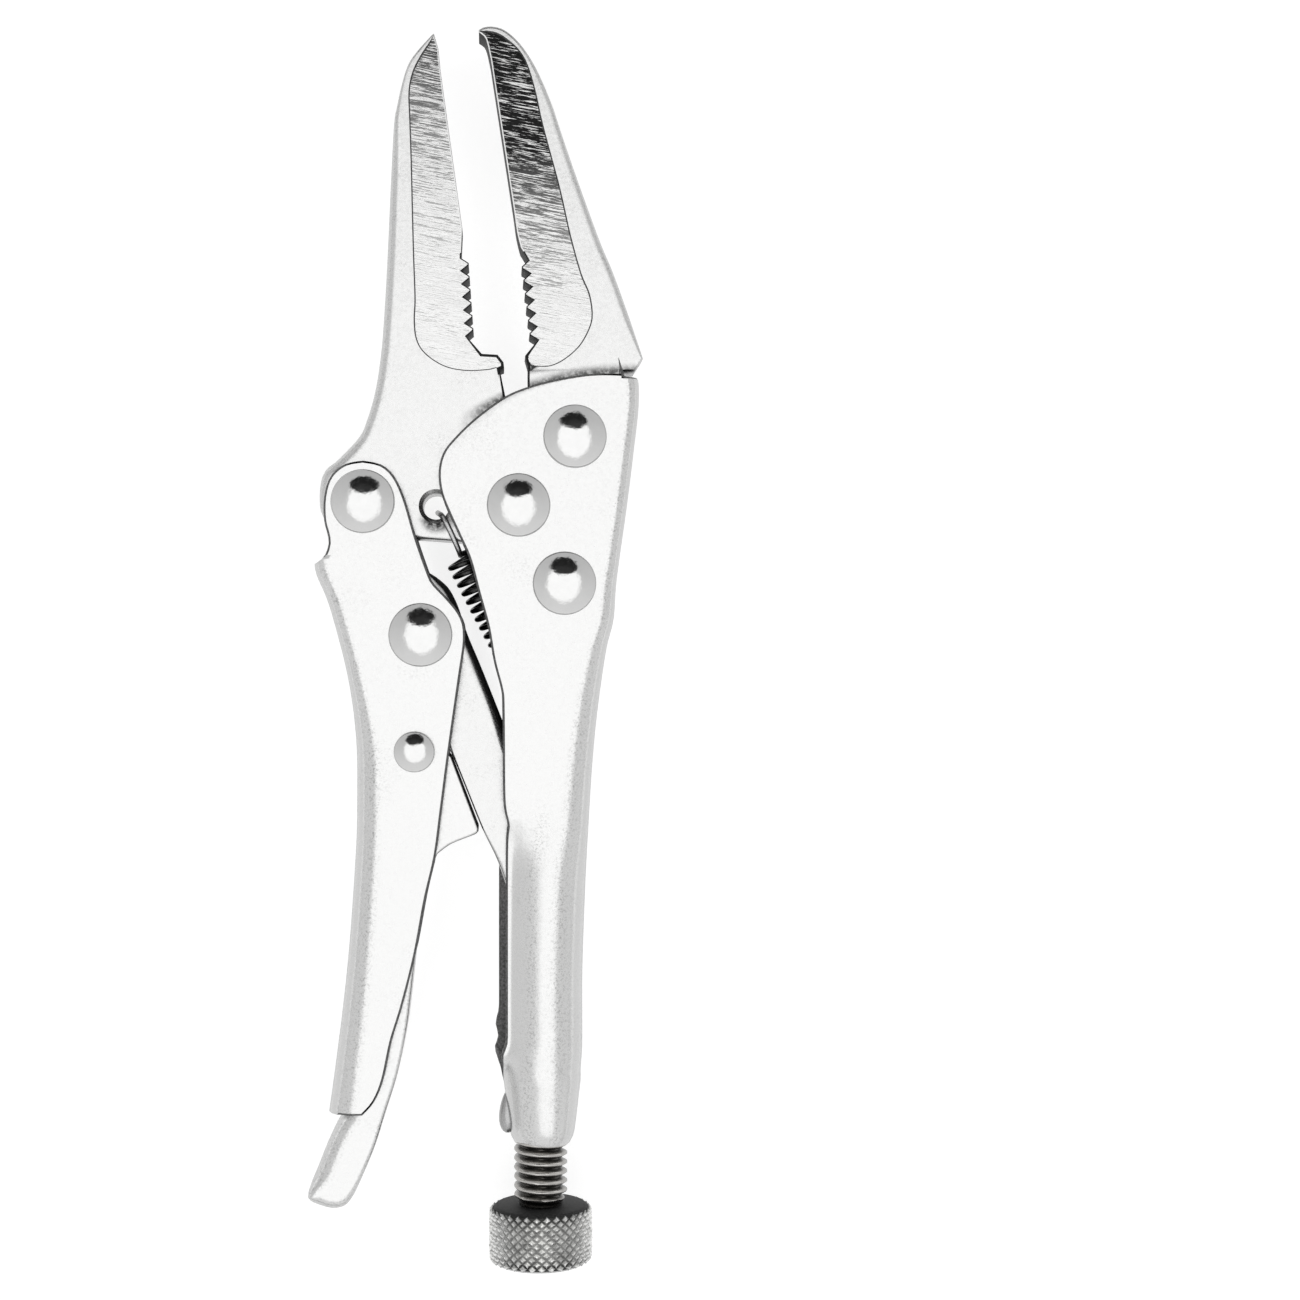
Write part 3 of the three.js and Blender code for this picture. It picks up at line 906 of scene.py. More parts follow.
def handle_stations():
    """The handle's near and far half sections from its top to the neck's end."""
    edge = smooth(HANDLE_EDGE, FINE_STEP)
    back = smooth(HANDLE_BACK, FINE_STEP)
    turn_row = int(np.argmin(np.abs(edge[:, 1] - EDGE_TURN) + 100 * (edge[:, 0] > 0)))
    upper = resample(edge[:turn_row + 1], TOP_EDGE_ROWS)
    lower = resample(edge[turn_row:], LOWER_ROWS)[1:]
    heights = [*np.linspace(HANDLE_TOP, EDGE_TURN, TOP_EDGE_ROWS), *lower[:, 1]]
    near = []
    far = []
    for point, y in zip(np.vstack([upper, lower]), heights):
        spine = np.array([x_at(back, y), y])
        closing = below(y, *CLOSING)
        section = {"side": 1, "bend": at(y, HANDLE_BEND), "depth": at(y, HANDLE_BEND_DEPTH),
                   "drop": at(y, CROWN_DROP), "closing": closing * closing * (3 - 2 * closing),
                   "neck_radius": at(y, NECK_RADIUS)}
        near.append(half_section(point, spine, **section))
        bulge = FAR_BULGE * math.exp(-((y - FAR_BULGE_Y) / FAR_BULGE_WIDTH) ** 2)
        reach = FAR_REACH * below(y, *FAR_REACH_GROWS) + bulge
        far.append(half_section(point - np.array([reach, 0]), spine, **section))
    return near, far


def fixed_handle():
    near, far = handle_stations()

    def in_slot(row, column, middle):
        within = WEB_SLOT["bottom"] < middle.y < WEB_SLOT["top"]
        return within and abs(middle.z) < WEB_SLOT["half"] and middle.x > WEB_SLOT["behind"]

    bm = sheet_body(near, far, in_slot)

    def thickness(co):
        return SHEET - NECK_THINNING * below(co.y, *CLOSING)

    thicken(bm, thickness, (1, 0, 0), lambda co: co.y < NECK_END + 0.4)
    handle = place(bm, "fixed_handle_shell", SHEET_MATERIALS, "handle", ["fixed_handle"],
                   sharp=50)
    for centre in (JAW_PIVOT, FRONT_RIVET, REAR_RIVET):
        drill(handle, centre, SHANK + PIVOT_PLAY)


def seam_bead():
    """The drop of metal squeezed out where the neck's seam was closed, fuller towards its lower end."""
    profile = []
    for angle in np.linspace(0, math.pi, 15):
        fullness = 1 + 0.3 * math.cos(angle)
        profile.append((SEAM_BEAD["radius"] * math.sin(angle) * fullness,
                        SEAM_BEAD["y"] - SEAM_BEAD["half"] * math.cos(angle)))
    profile[0] = (0, profile[0][1])
    profile[-1] = (0, profile[-1][1])
    bm = turned(profile, (SEAM_BEAD["x"], 0), axis="Y", segments=SEAM_BEAD["segments"])
    place(bm, "fixed_handle_seam_bead", [BEAD_FINISH], "handle", ["fixed_handle"])


# ---- clamping lever ----

LEVER_EDGE = [[-15.0, 25.1], [-12.6, 24.6], [-10.9, 23.1], [-9.5, 20.1], [-8.0, 15.0], [-6.4, 10.4],
              [-5.7, 8.9],
              [-4.1, 7.2], [-2.5, 5.3], [-1.7, 3.7], [-1.5, 2.1], [-1.6, 0.2], [-2.2, -3.8], [-3.6, -13.7],
              [-4.6, -21.4], [-5.4, -27.4], [-6.7, -33.1], [-8.1, -40.6], [-9.8, -47.3], [-11.2, -51.9],
              [-12.3, -57.0], [-13.5, -59.9], [-15.1, -61.7]]
EYE_LEFT = [[-15.0, 25.1], [-17.4, 24.6], [-19.3, 22.9], [-20.1, 20.2], [-20.1, 17.2], [-19.6, 15.2],
            [-19.5, 14.0], [-19.9, 12.7], [-20.4, 12.0]]
LEVER_BACK = [[-21.5, 11.4], [-21.2, 9.9], [-19.7, 6.3], [-18.2, 1.0], [-17.1, -3.7], [-16.4, -8.3],
              [-16.0, -13.3],
              [-15.95, -18.7], [-16.0, -23.8], [-16.3, -29.7], [-17.0, -39.4], [-17.9, -48.1], [-19.1, -57.4],
              [-19.7, -61.6]]
LEVER_BEND = [(11.4, 2.0), (-4, 2.3), (-10, 3.0), (-15, 3.5), (-23, 3.6), (-39, 3.7), (-60, 4.0)]
LEVER_SHOULDER = 11.6
SHOULDER_DROP = 0.15
SHOULDER_RUN = 4
SQUARE_BEHIND = -18.3
SQUARE_END = -60.7
SQUARE_STEP = (10.9, 12.6)
EYE_ROWS = 22
LEVER_ROWS = 96


def clamping_lever():
    """The moving handle: two flat eyes, and a channel from its shoulder down."""
    edge = smooth(LEVER_EDGE, FINE_STEP)
    back = smooth(LEVER_BACK, FINE_STEP)
    eye = resample(smooth(EYE_LEFT, FINE_STEP), EYE_ROWS)
    top = int(np.argmin(np.abs(edge[:, 1] - LEVER_SHOULDER)))
    right = resample(edge[:top + 1], EYE_ROWS)
    sections = []
    for point, left in zip(right, eye):
        sections.append(half_section(point, left, side=-1, bend=0.0, depth=0.0, drop=0.0))
    for point in resample(edge[top:], LEVER_ROWS):
        y = point[1] - SHOULDER_DROP * (1 - min(1.0, (LEVER_SHOULDER - point[1]) / SHOULDER_RUN))
        bend = at(y, LEVER_BEND)
        spine = np.array([x_at(back, y), y])
        sections.append(half_section(point, spine, side=-1, bend=bend, depth=bend, drop=0.0))

    def beyond_eye(row, column, middle):
        flat = FLAT_COLUMNS - 1
        columns = 2 * (FLAT_COLUMNS + BEND_COLUMNS + WEB_COLUMNS - 2) - 2
        return row < EYE_ROWS - 1 and flat <= column < columns - flat

    bm = sheet_body(sections, sections, beyond_eye)

    def square(co):
        return co.x < SQUARE_BEHIND and (co.y < SQUARE_END or SQUARE_STEP[0] < co.y < SQUARE_STEP[1])

    thicken(bm, lambda co: SHEET, (-1, 0, 0), square)
    lever = place(bm, "clamping_lever_shell", SHEET_MATERIALS, "lever", ["clamping_lever"],
                  sharp=50)
    for centre, radius in ((LEVER_PIVOT, SHANK), (LINK_PIVOT, SHANK), (RELEASE_PIVOT, SMALL_SHANK)):
        drill(lever, centre, radius + PIVOT_PLAY)


# ---- link and release lever ----


def paint_shade_along(bm, line, reach, index, steepest=0.75):
    """Paints shade on the walls and edge roundings within reach of a line, by giving them another of the piece's
    finishes.
    """
    bm.normal_update()
    line = np.array(line)
    for face in bm.faces:
        nearby = np.min(np.linalg.norm(line - np.array(face.calc_center_median()[:2]), axis=1))
        if len(face.verts) == 4 and nearby < reach and abs(face.normal.z) < steepest:
            face.material_index = index


def toggle_link():
    right = [[11.3, -30.5], [6.9, -18.4], [1.2, -3.8], [-1.2, 2.0], [-2.3, 5.3], [-3.0, 7.0],
             [-3.9, 8.5], [-5.4, 9.8]]
    left = [[-3.3, -14.0], [0.55, -23.5], [3.2, -29.4]]
    points, rounding = closed_outline(
        ([0.9, 0.9, 0.9, 0.9, 0.9, 0.7, 0.3, 0.3, 0.6, 0.9],
         [[-7.8, 9.9], [-9.2, 8.3], [-11.2, 5.0], [-12.2, 1.8], [-11.2, -1.2],
          [-8.0, -3.6], *left, [6.1, -38.8]]),
        ([1.0, 1.2, 1.2, 1.2, 1.3, 1.5, 1.6, 1.6, 1.6, 1.6, 1.6, 1.4, 1.1],
         [[7.4, -40.4], [8.9, -40.6], [10.5, -39.6], [11.5, -36.8], *right, [-6.6, 10.5]]),
    )
    bm = rounded_body(points, rounding, LINK_HALF)
    # Painted shade on the link's edge beside the handle and along its gap with the release lever's finger.
    paint_shade_along(bm, smooth(right), 1.5, 1, 0.85)
    paint_shade_along(bm, smooth(left[:2]), 0.5, 1)
    link = place(bm, "toggle_link_forging", [FORGED_FINISH, WALL_SHADE_FINISH], "link",
                 ["toggle_link"])
    drill(link, LINK_PIVOT, SHANK + PIVOT_PLAY)


def release_lever():
    finger = [[0.24, -23.75], [-3.36, -14.3]]
    points, rounding = closed_outline(
        ([0.5, 0.5, 0.5, 0.8, 1.2, 1.8, 2.2, 2.3, 2.4, 2.4, 2.4, 2.4, 2.0, 1.6, 1.4, 1.3, 1.2, 1.0, 0.7, 0.6, 0.6,
          0.5, 0.5, 0.5, 0.4, 0.35, 0.3],
         [[-5.9, -11.4], [-8.2, -10.2], [-10.6, -11.0], [-12.0, -15.0], [-12.7, -24.0], [-13.0, -36.0],
          [-14.2, -46.0], [-15.4, -56.0], [-17.2, -61.2], [-18.5, -63.2], [-19.9, -66.1], [-21.3, -69.6],
          [-22.4, -72.4], [-22.1, -73.5], [-20.8, -74.2], [-19.1, -74.6], [-17.6, -74.3], [-16.6, -73.2],
          [-15.5, -71.0], [-13.6, -66.5], [-12.1, -61.8], [-10.5, -56.6], [-9.3, -50.7], [-8.7, -46.0],
          [-7.7, -37.4], [-6.6, -31.5], [-5.6, -28.2]]),
        (0.4, [[-5.2, -27.3], [-3.6, -26.1], [-1.6, -25.25], [-0.3, -24.75], [0.25, -24.3], finger[0]]),
        (0.3, [finger[1]]),
    )
    bm = rounded_body(points, rounding, RELEASE_HALF)
    # Painted shade on the finger's walls at its gap with the link.
    paint_shade_along(bm, smooth(finger, 0.3), 0.45, 1)
    lever = place(bm, "release_lever_pressing", [SHEET_FINISH, WALL_SHADE_FINISH], "release",
                  ["release_lever"])
    drill(lever, RELEASE_PIVOT, SMALL_SHANK + PIVOT_PLAY)


# ---- jaws ----

SHADED_WALLS_BELOW = 53.5
SHADE_REACH = 0.45
UPRIGHT = 0.3
HOLE_RADIUS = 1.75
HOLE_COUNTERSINK = 0.55


def jaw_body(points, rounding, pad_first, pad_last, pad_line):
    """A forged jaw with its ground face, painted shade on the walls along it, and a nose that thins towards its
    tip.
    """
    first = nearest(points, pad_first)
    last = nearest(points, pad_last)
    line = smooth(pad_line, 0.5)
    bm = rounded_body(points, rounding, JAW_HALF, pad=(first, last, line))
    bm.normal_update()
    # Painted shade: walls along the ground face take the dark wall finish.
    walls = [face for face in bm.faces if face.material_index == 0
             and (abs(face.normal.z) < UPRIGHT or face.calc_center_median().y < SHADED_WALLS_BELOW)]
    count = len(points)
    ground_line = np.array([points[i % count] for i in range(first, first + (last - first) % count + 1)])
    for face in walls:
        middle = face.calc_center_median()
        nearby = np.min(np.linalg.norm(ground_line - np.array(middle[:2]), axis=1))
        if len(face.verts) == 4 and nearby < SHADE_REACH:
            face.material_index = SHADE_SLOT
    bmesh.ops.bisect_plane(bm, geom=bm.verts[:] + bm.edges[:] + bm.faces[:], plane_co=(0, NOSE_START, 0),
                           plane_no=(0, 1, 0), dist=0.001)
    for vert in bm.verts:
        vert.co.z *= 1 - NOSE_TAPER * max(0.0, vert.co.y - NOSE_START)
    return bm


def fixed_jaw():
    points, rounding = closed_outline(
        (0.1, [[0.3, 82.8], [1.0, 82.3], [1.4, 81.4], [1.9, 79.1]]),
        (0.1, [[5.05, 58.5], [5.4, 56.0], [5.9, 54.0]]),
        *tooth_row([6.95, 52.3], [8.2, 41.6], -1),
        (0.3, [[6.5, 39.5], [6.9, 38.1]]),
        (0.3, [[6.9, 35.3]]),
        (0.3, [[7.5, 29.0], [10.0, 25.4], [11.8, 21.0], [11.6, 17.0], [9.6, 12.6], [7.8, 9.0], [8.4, 5.8],
               [11.7, 3.9], [15.0, 4.6], [16.1, 7.0], [17.3, 17.0], [18.8, 27.8], [19.2, 35.0]]),
        (0.3, [[19.3, 37.5]]),
        (0.3, [[21.3, 37.6]]),
        (0.35, [[22.35, 39.2]]),
        ([1.0, 1.0, 1.0, 0.9, 0.8, 0.7, 0.6, 0.45, 0.35, 0.3, 0.3, 0.3, 0.3, 0.3, 0.2],
         [[20.5, 44.9], [18.4, 50.7], [16.4, 55.5], [13.3, 64.0], [11.2, 70.1], [10.2, 73.1], [9.1, 75.8],
          [8.0, 78.1], [7.0, 79.8], [5.9, 81.3], [4.6, 82.6], [3.3, 83.4], [2.0, 83.65], [0.9, 83.5],
          [0.3, 83.1]]),
    )
    pad = [[3.9, 81.9], [5.4, 80.6], [6.6, 78.7], [7.7, 75.2], [8.8, 70.3], [11.0, 62.1], [12.5, 55.5],
           [13.9, 50.5],
           [15.0, 47.8], [15.4, 45.1], [15.0, 43.2], [13.7, 40.9], [11.7, 39.1], [9.8, 38.2], [8.0, 38.15]]
    bm = jaw_body(points, rounding, [0.3, 82.8], [6.9, 38.1], [[1.4, 82.85], [2.7, 82.6], *pad])
    materials = [FORGED_FINISH, FIXED_GROUND, STEP_FINISH, WALL_SHADE_FINISH]
    # Painted shade on the jaw's walls at its throat.
    paint_shade_along(bm, smooth([[6.5, 39.5], [6.9, 38.1], [6.9, 35.3], [7.3, 31.0]], 0.3), 0.55, SHADE_SLOT, 0.9)
    jaw = place(bm, "fixed_jaw_forging", materials, "handle", ["fixed_jaw"])
    for centre in (FRONT_RIVET, REAR_RIVET):
        drill(jaw, centre, SHANK + PIVOT_PLAY)


def movable_jaw():
    points, rounding = closed_outline(
        ([0.15, 0.25, 0.3, 0.4, 0.6, 0.8, 1.3, 1.4, 1.4, 1.4, 1.4, 1.4, 1.4, 1.4, 1.4, 1.2, 1.0, 1.0],
         [[-5.7, 82.6], [-8.0, 80.0], [-9.2, 78.1], [-10.0, 75.5], [-10.6, 72.8], [-11.0, 70.5],
          [-11.4, 63.6],
          [-11.8, 54.7], [-12.2, 47.0], [-12.7, 40.1], [-13.5, 34.7], [-14.6, 30.8], [-15.7, 28.4],
          [-18.5, 25.4], [-20.1, 24.0], [-20.8, 21.9], [-20.7, 18.5], [-19.2, 15.8]]),
        (0.5, [[-17.6, 15.0]]),
        (0.5, [[-8.0, 14.9], [-2.3, 14.5], [1.4, 13.9], [5.6, 13.9], [9.6, 15.8], [10.9, 19.3], [9.9, 23.0],
               [6.6, 26.2], [4.6, 30.5], [3.8, 34.2]]),
        (0.25, [[3.1, 37.6]]),
        (0.3, [[3.7, 37.8]]),
        (0.3, [[3.6, 38.6], [2.8, 39.6]]),
        (0.3, [[0.7, 39.7]]),
        *tooth_row([-1.35, 42.0], [-2.1, 52.5], -1),
        (0.1, [[-1.9, 56.5]]),
        (0.1, [[-4.8, 77.5], [-5.1, 80.6]]),
    )
    pad = [[2.6, 37.9], [1.3, 37.6], [-1.7, 37.5], [-4.4, 38.1], [-6.8, 39.7], [-7.9, 41.5], [-8.2, 44.0],
           [-8.1, 47.0], [-8.3, 52.8], [-8.5, 60.5], [-8.6, 64.8], [-8.8, 70.9], [-8.9, 74.6], [-8.4, 77.2],
           [-7.4, 79.3]]
    bm = jaw_body(points, rounding, [3.1, 37.6], [-5.7, 82.6], [*pad, [-6.3, 81.0]])
    materials = [FORGED_FINISH, MOVABLE_GROUND, STEP_FINISH, WALL_SHADE_FINISH]
    heel = [[0.7, 39.7], [2.8, 39.6], [3.6, 38.6], [3.1, 37.6], [3.8, 34.2], [4.4, 31.5]]
    # Painted shade on the walls of the jaw's heel.
    paint_shade_along(bm, smooth(heel, 0.3), 0.55, SHADE_SLOT, 0.9)
    jaw = place(bm, "movable_jaw_forging", materials, "jaw", ["movable_jaw"])
    for centre in (JAW_PIVOT, LEVER_PIVOT):
        drill(jaw, centre, SHANK + PIVOT_PLAY)
    drill(jaw, SPRING_HOLE, HOLE_RADIUS, countersink=HOLE_COUNTERSINK)


# ---- rivets ----


def rivet(name, centre, head, shank, body):
    """A closed rivet: a shank between two domed heads, each with a rolled rim and a small flat."""
    radii = np.linspace(head, 0, 25)
    slopes = np.tan(DOME_TILT * (radii / head) ** 0.85)
    falls = np.concatenate([[0], np.cumsum((slopes[1:] + slopes[:-1]) / 2 * head / 24)])
    dome = list(zip(radii[:-1], HEAD_TOP - falls[-1] + falls[:-1]))
    lowest = dome[0][1]
    rim = [(shank, HEAD_UNDER), (head + 0.1, HEAD_UNDER), (head + 0.13, HEAD_UNDER + 0.1),
           (head + 0.05, lowest - 0.1)]
    upper = rim + dome + [(0, HEAD_TOP)]
    lower = [(radius, -height) for radius, height in reversed(upper)]
    bm = turned(lower + upper, centre)
    place(bm, name + "_dome", [RIVET_FINISH], body, [name], sharp=60)


def rivets():
    rivet("fixed_jaw_front_rivet", FRONT_RIVET, RIVET_HEAD, SHANK, "handle")
    rivet("fixed_jaw_rear_rivet", REAR_RIVET, RIVET_HEAD, SHANK, "handle")
    rivet("jaw_pivot_rivet", JAW_PIVOT, RIVET_HEAD, SHANK, "jaw_pin")
    rivet("lever_pivot_rivet", LEVER_PIVOT, RIVET_HEAD, SHANK, "lever_pin")
    rivet("link_pivot_rivet", LINK_PIVOT, RIVET_HEAD, SHANK, "lever")
    rivet("release_pivot_rivet", RELEASE_PIVOT, SMALL_RIVET_HEAD, SMALL_SHANK, "lever")


# ---- node trees ----


class Tree:
    """A geometry node tree being made, with named inputs."""

    def __init__(self, name, **sizes):
        self.group = bpy.data.node_groups.new(name, "GeometryNodeTree")
        self.group.interface.new_socket("Geometry", in_out="INPUT", socket_type="NodeSocketGeometry")
        self.identifiers = {}
        for label, value in sizes.items():
            kind = "NodeSocketInt" if isinstance(value, int) else "NodeSocketFloat"
            socket = self.group.interface.new_socket(label, in_out="INPUT", socket_type=kind)
            self.identifiers[label] = (socket.identifier, value)
        self.group.interface.new_socket("Geometry", in_out="OUTPUT", socket_type="NodeSocketGeometry")
        self.input = add_node(self.group, "NodeGroupInput")
        self.output = add_node(self.group, "NodeGroupOutput")

    def node(self, kind, inputs=(), **settings):
        return add_node(self.group, kind, inputs, **settings)

    def size(self, label):
        return Reading(self.group, self.input.outputs[label])

    def spot(self, x, y, z):
        return self.node("ShaderNodeCombineXYZ", {0: x, 1: y, 2: z}).outputs[0]

    def around_screw(self, radius, turn, height):
        """A place at that radius from the screw's axis, that far round it."""
        x = radius * turn.worked("COSINE", turn) + float(SCREW_X)
        return self.spot(x, height, radius * turn.worked("SINE", turn))

    def moved(self, geometry, places):
        inputs = {"Geometry": geometry, "Position": places}
        return self.node("GeometryNodeSetPosition", inputs).outputs[0]

    def close(self, geometry, material):
        realized = self.node("GeometryNodeRealizeInstances", {"Geometry": geometry})
        inputs = {"Geometry": realized.outputs[0], "Material": material}
        coloured = self.node("GeometryNodeSetMaterial", inputs)
        feed(self.group, self.output.inputs[0], coloured.outputs[0])

    def run(self, piece):
        """Applies the tree to a piece and leaves a plain mesh in its place."""
        modifier = piece.modifiers.new("build", "NODES")
        modifier.node_group = self.group
        for identifier, value in self.identifiers.values():
            modifier[identifier] = value
        bake_modifiers(piece)


def blank_piece(name, material):
    mesh = bpy.data.meshes.new(name)
    mesh.materials.append(material)
    return add_object(name, mesh)


def settle(piece):
    """Moves a piece made in the tool's millimetres into the frame, and turns its faces outwards."""
    bm = bmesh.new()
    bm.from_mesh(piece.data)
    bmesh.ops.remove_doubles(bm, verts=bm.verts, dist=WELD_FINE)
    bmesh.ops.recalc_face_normals(bm, faces=bm.faces)
    into_frame(bm)
    bm.to_mesh(piece.data)
    bm.free()


# ---- adjusting screw ----

THREAD_COLUMNS = 48
THREAD_STEPS = 8
END_RADIUS = 1.9
SHANK_IN_KNOB = 5.4


def added(made, kind):
    return [part for part in made["geom"] if isinstance(part, kind)]


def adjusting_screw():
    """A rolled thread: a grid wrapped round the axis, its radius rising and falling along the helix."""
    top = SCREW_TIP - 0.7
    bottom = KNOB_TOP + 0.15
    rows = int((top - bottom) / THREAD_PITCH * THREAD_STEPS)
    tree = Tree("rolled_thread", Radius=THREAD_R, Depth=THREAD_DEPTH, Pitch=THREAD_PITCH, Top=top,
                Bottom=bottom)
    grid = tree.node("GeometryNodeMeshGrid", {"Size X": 1.0, "Size Y": 1.0, "Vertices X": THREAD_COLUMNS + 1,
                                              "Vertices Y": rows + 1})
    split = tree.node("ShaderNodeSeparateXYZ", {0: tree.node("GeometryNodeInputPosition").outputs[0]})
    turns = Reading(tree.group, split.outputs[0])
    share = Reading(tree.group, split.outputs[1]) + 0.5
    height = tree.size("Bottom") + share * (tree.size("Top") - tree.size("Bottom"))
    phase = height / tree.size("Pitch") - turns
    flank = phase.worked("PINGPONG", phase, 0.5) * 2.0
    from_ends = (tree.size("Top") - height).least(height - tree.size("Bottom"))
    cut = flank.range(0.08, 0.86) * from_ends.range(0.2, 1.2, smooth_step=False)
    radius = tree.size("Radius") - tree.size("Depth") * (1.0 - cut)
    wrapped = tree.around_screw(radius, turns * (2 * math.pi), height)
    tree.close(tree.moved(grid.outputs[0], wrapped), SCREW_FINISH)
    screw = blank_piece("adjusting_screw_thread", SCREW_FINISH)
    tree.run(screw)
    bm = bmesh.new()
    bm.from_mesh(screw.data)
    bmesh.ops.remove_doubles(bm, verts=bm.verts, dist=WELD_FINE)
    for level, end in ((top, SCREW_TIP), (bottom, bottom)):
        rim = [edge for edge in bm.edges if edge.is_boundary and abs(edge.verts[0].co.y - level) < 0.01]
        made = bmesh.ops.extrude_edge_only(bm, edges=rim)
        for vert in added(made, bmesh.types.BMVert):
            away = Vector((vert.co.x - SCREW_X, 0, vert.co.z)).normalized() * END_RADIUS
            vert.co = Vector((SCREW_X, end, 0)) + away
        if level == bottom:
            made = bmesh.ops.extrude_edge_only(bm, edges=added(made, bmesh.types.BMEdge))
            for vert in added(made, bmesh.types.BMVert):
                vert.co.y = bottom - SHANK_IN_KNOB
        bmesh.ops.edgeloop_fill(bm, edges=added(made, bmesh.types.BMEdge))
    bm.to_mesh(screw.data)
    bm.free()
    settle(screw)
    finish_piece(screw, "screw", ["adjusting_screw"], sharp=50)


# ---- adjusting knob ----

SOCKET_R = 2.15
SOCKET_DEPTH = 5.6
PYRAMID_SINK = 0.03
PYRAMID_FILL = 0.94


def adjusting_knob():
    """A turned knob whose rim carries a diamond knurl: one small pyramid repeated in staggered rows."""
    core_radius = KNOB_R - KNURL_RISE
    middle = (KNOB_TOP + KNOB_END) / 2
    half = (KNOB_TOP - KNOB_END) / 2 - KNOB_CHAMFER
    rim = core_radius - KNOB_SHOULDER - KNOB_CHAMFER
    socket = SOCKET_R
    floor = KNOB_TOP - SOCKET_DEPTH
    sides = [(core_radius - KNOB_SHOULDER * share**4, middle - half * share)
             for share in np.linspace(-1, 1, 17)]
    profile = [(0, floor), (socket - 0.05, floor), (socket, floor + 0.05), (socket, KNOB_TOP - 0.25),
               (socket + 0.25, KNOB_TOP), (rim - 0.15, KNOB_TOP), (rim, KNOB_TOP - 0.06), *sides,
               (rim, KNOB_END + 0.06), (rim - 0.2, KNOB_END), (1.2, KNOB_END), (0.5, KNOB_END + 0.25),
               (0, KNOB_END + 0.3)]
    bm = turned(profile, (SCREW_X, 0), axis="Y", segments=84)
    mouth = Vector((SCREW_X, KNOB_TOP, 0))
    # Painted shade: the knob's top face and its socket mouth take the black finish.
    for face in bm.faces:
        spot_on = face.calc_center_median()
        if spot_on.y > KNOB_TOP - 0.3 or (spot_on - mouth).length < 5.0:
            face.material_index = 1
    place(bm, "adjusting_knob_core", [KNURL_FINISH, BLACK_SHADE_FINISH], "knob",
          ["adjusting_knob"], sharp=30)
    pitch_round = 2 * math.pi * core_radius / KNURL_ROUND
    band = KNOB_TOP - KNOB_END - 2 * KNOB_CHAMFER - 0.1
    pitch_along = band / KNURL_ROWS
    tree = Tree("diamond_knurl", Radius=core_radius, Rise=KNURL_RISE, Around=KNURL_ROUND, Rows=2 * KNURL_ROWS,
                PitchAlong=pitch_along, PitchRound=pitch_round, Shoulder=KNOB_SHOULDER, Seed=KNURL_SEED)
    points = tree.node("GeometryNodePoints", {"Count": tree.size("Around") * tree.size("Rows")})
    number = Reading(tree.group, tree.node("GeometryNodeInputIndex").outputs[0])
    row = (number + 0.5) / tree.size("Around")
    row = row.worked("FLOOR", row)
    column = number - row * tree.size("Around")
    turn = (column + row % 2.0 * 0.5) / tree.size("Around") * (2 * math.pi)
    height = row * tree.size("PitchAlong") * 0.5 + (middle - band / 2 + pitch_along / 4)
    drop = abs((height - middle) / half) ** 4.0 * tree.size("Shoulder")
    low = tree.size("Radius") - PYRAMID_SINK - drop
    spots = tree.moved(points.outputs[0], tree.around_screw(low, turn, height))
    inputs = {"Vertices": 4, "Side Segments": 2, "Radius Top": 0.13, "Radius Bottom": 0.5,
              "Depth": tree.size("Rise") + PYRAMID_SINK}
    pyramid = tree.node("GeometryNodeMeshCone", inputs, fill_type="NGON")
    wide = tree.spot(tree.size("PitchRound") * PYRAMID_FILL, tree.size("PitchAlong") * PYRAMID_FILL, 1.0)
    shaped = tree.node("GeometryNodeTransform", {"Geometry": pyramid.outputs["Mesh"], "Scale": wide})
    uneven = tree.node("FunctionNodeRandomValue", {2: 0.75, 3: 1.0, 8: tree.size("Seed")}, data_type="FLOAT")
    placed = tree.node("GeometryNodeInstanceOnPoints", {"Points": spots, "Instance": shaped.outputs[0],
                                                        "Rotation": tree.spot(0.0, math.pi / 2 - turn, 0.0),
                                                        "Scale": tree.spot(1.0, 1.0, uneven.outputs[1])})
    tree.close(placed.outputs[0], KNURL_FINISH)
    knurl = blank_piece("adjusting_knob_knurl", KNURL_FINISH)
    tree.run(knurl)
    settle(knurl)
    finish_piece(knurl, "knob", ["adjusting_knob"], sharp=20)


# ---- tension spring ----

COIL_STEPS = 20


def hook_line():
    """The upper hook: up through the movable jaw's hole, over its rim and down the near face to the coil."""
    over = JAW_HALF + 1.4 * WIRE_R
    x, y = SPRING_HOLE
    return smooth([[x + 0.1, y - 0.5, -2.6], [x + 0.45, y - 0.9, 0.4], [x + 0.65, y - 1.1, 2.6],
                   [x + 1.15, y - 1.8, over], [x + 1.6, y - 2.7, over + 0.2], [-3.0, 14.8, over + 0.1],
                   [-2.4, 13.4, 3.3], [-2.15, 12.7, 1.9]], 0.35)


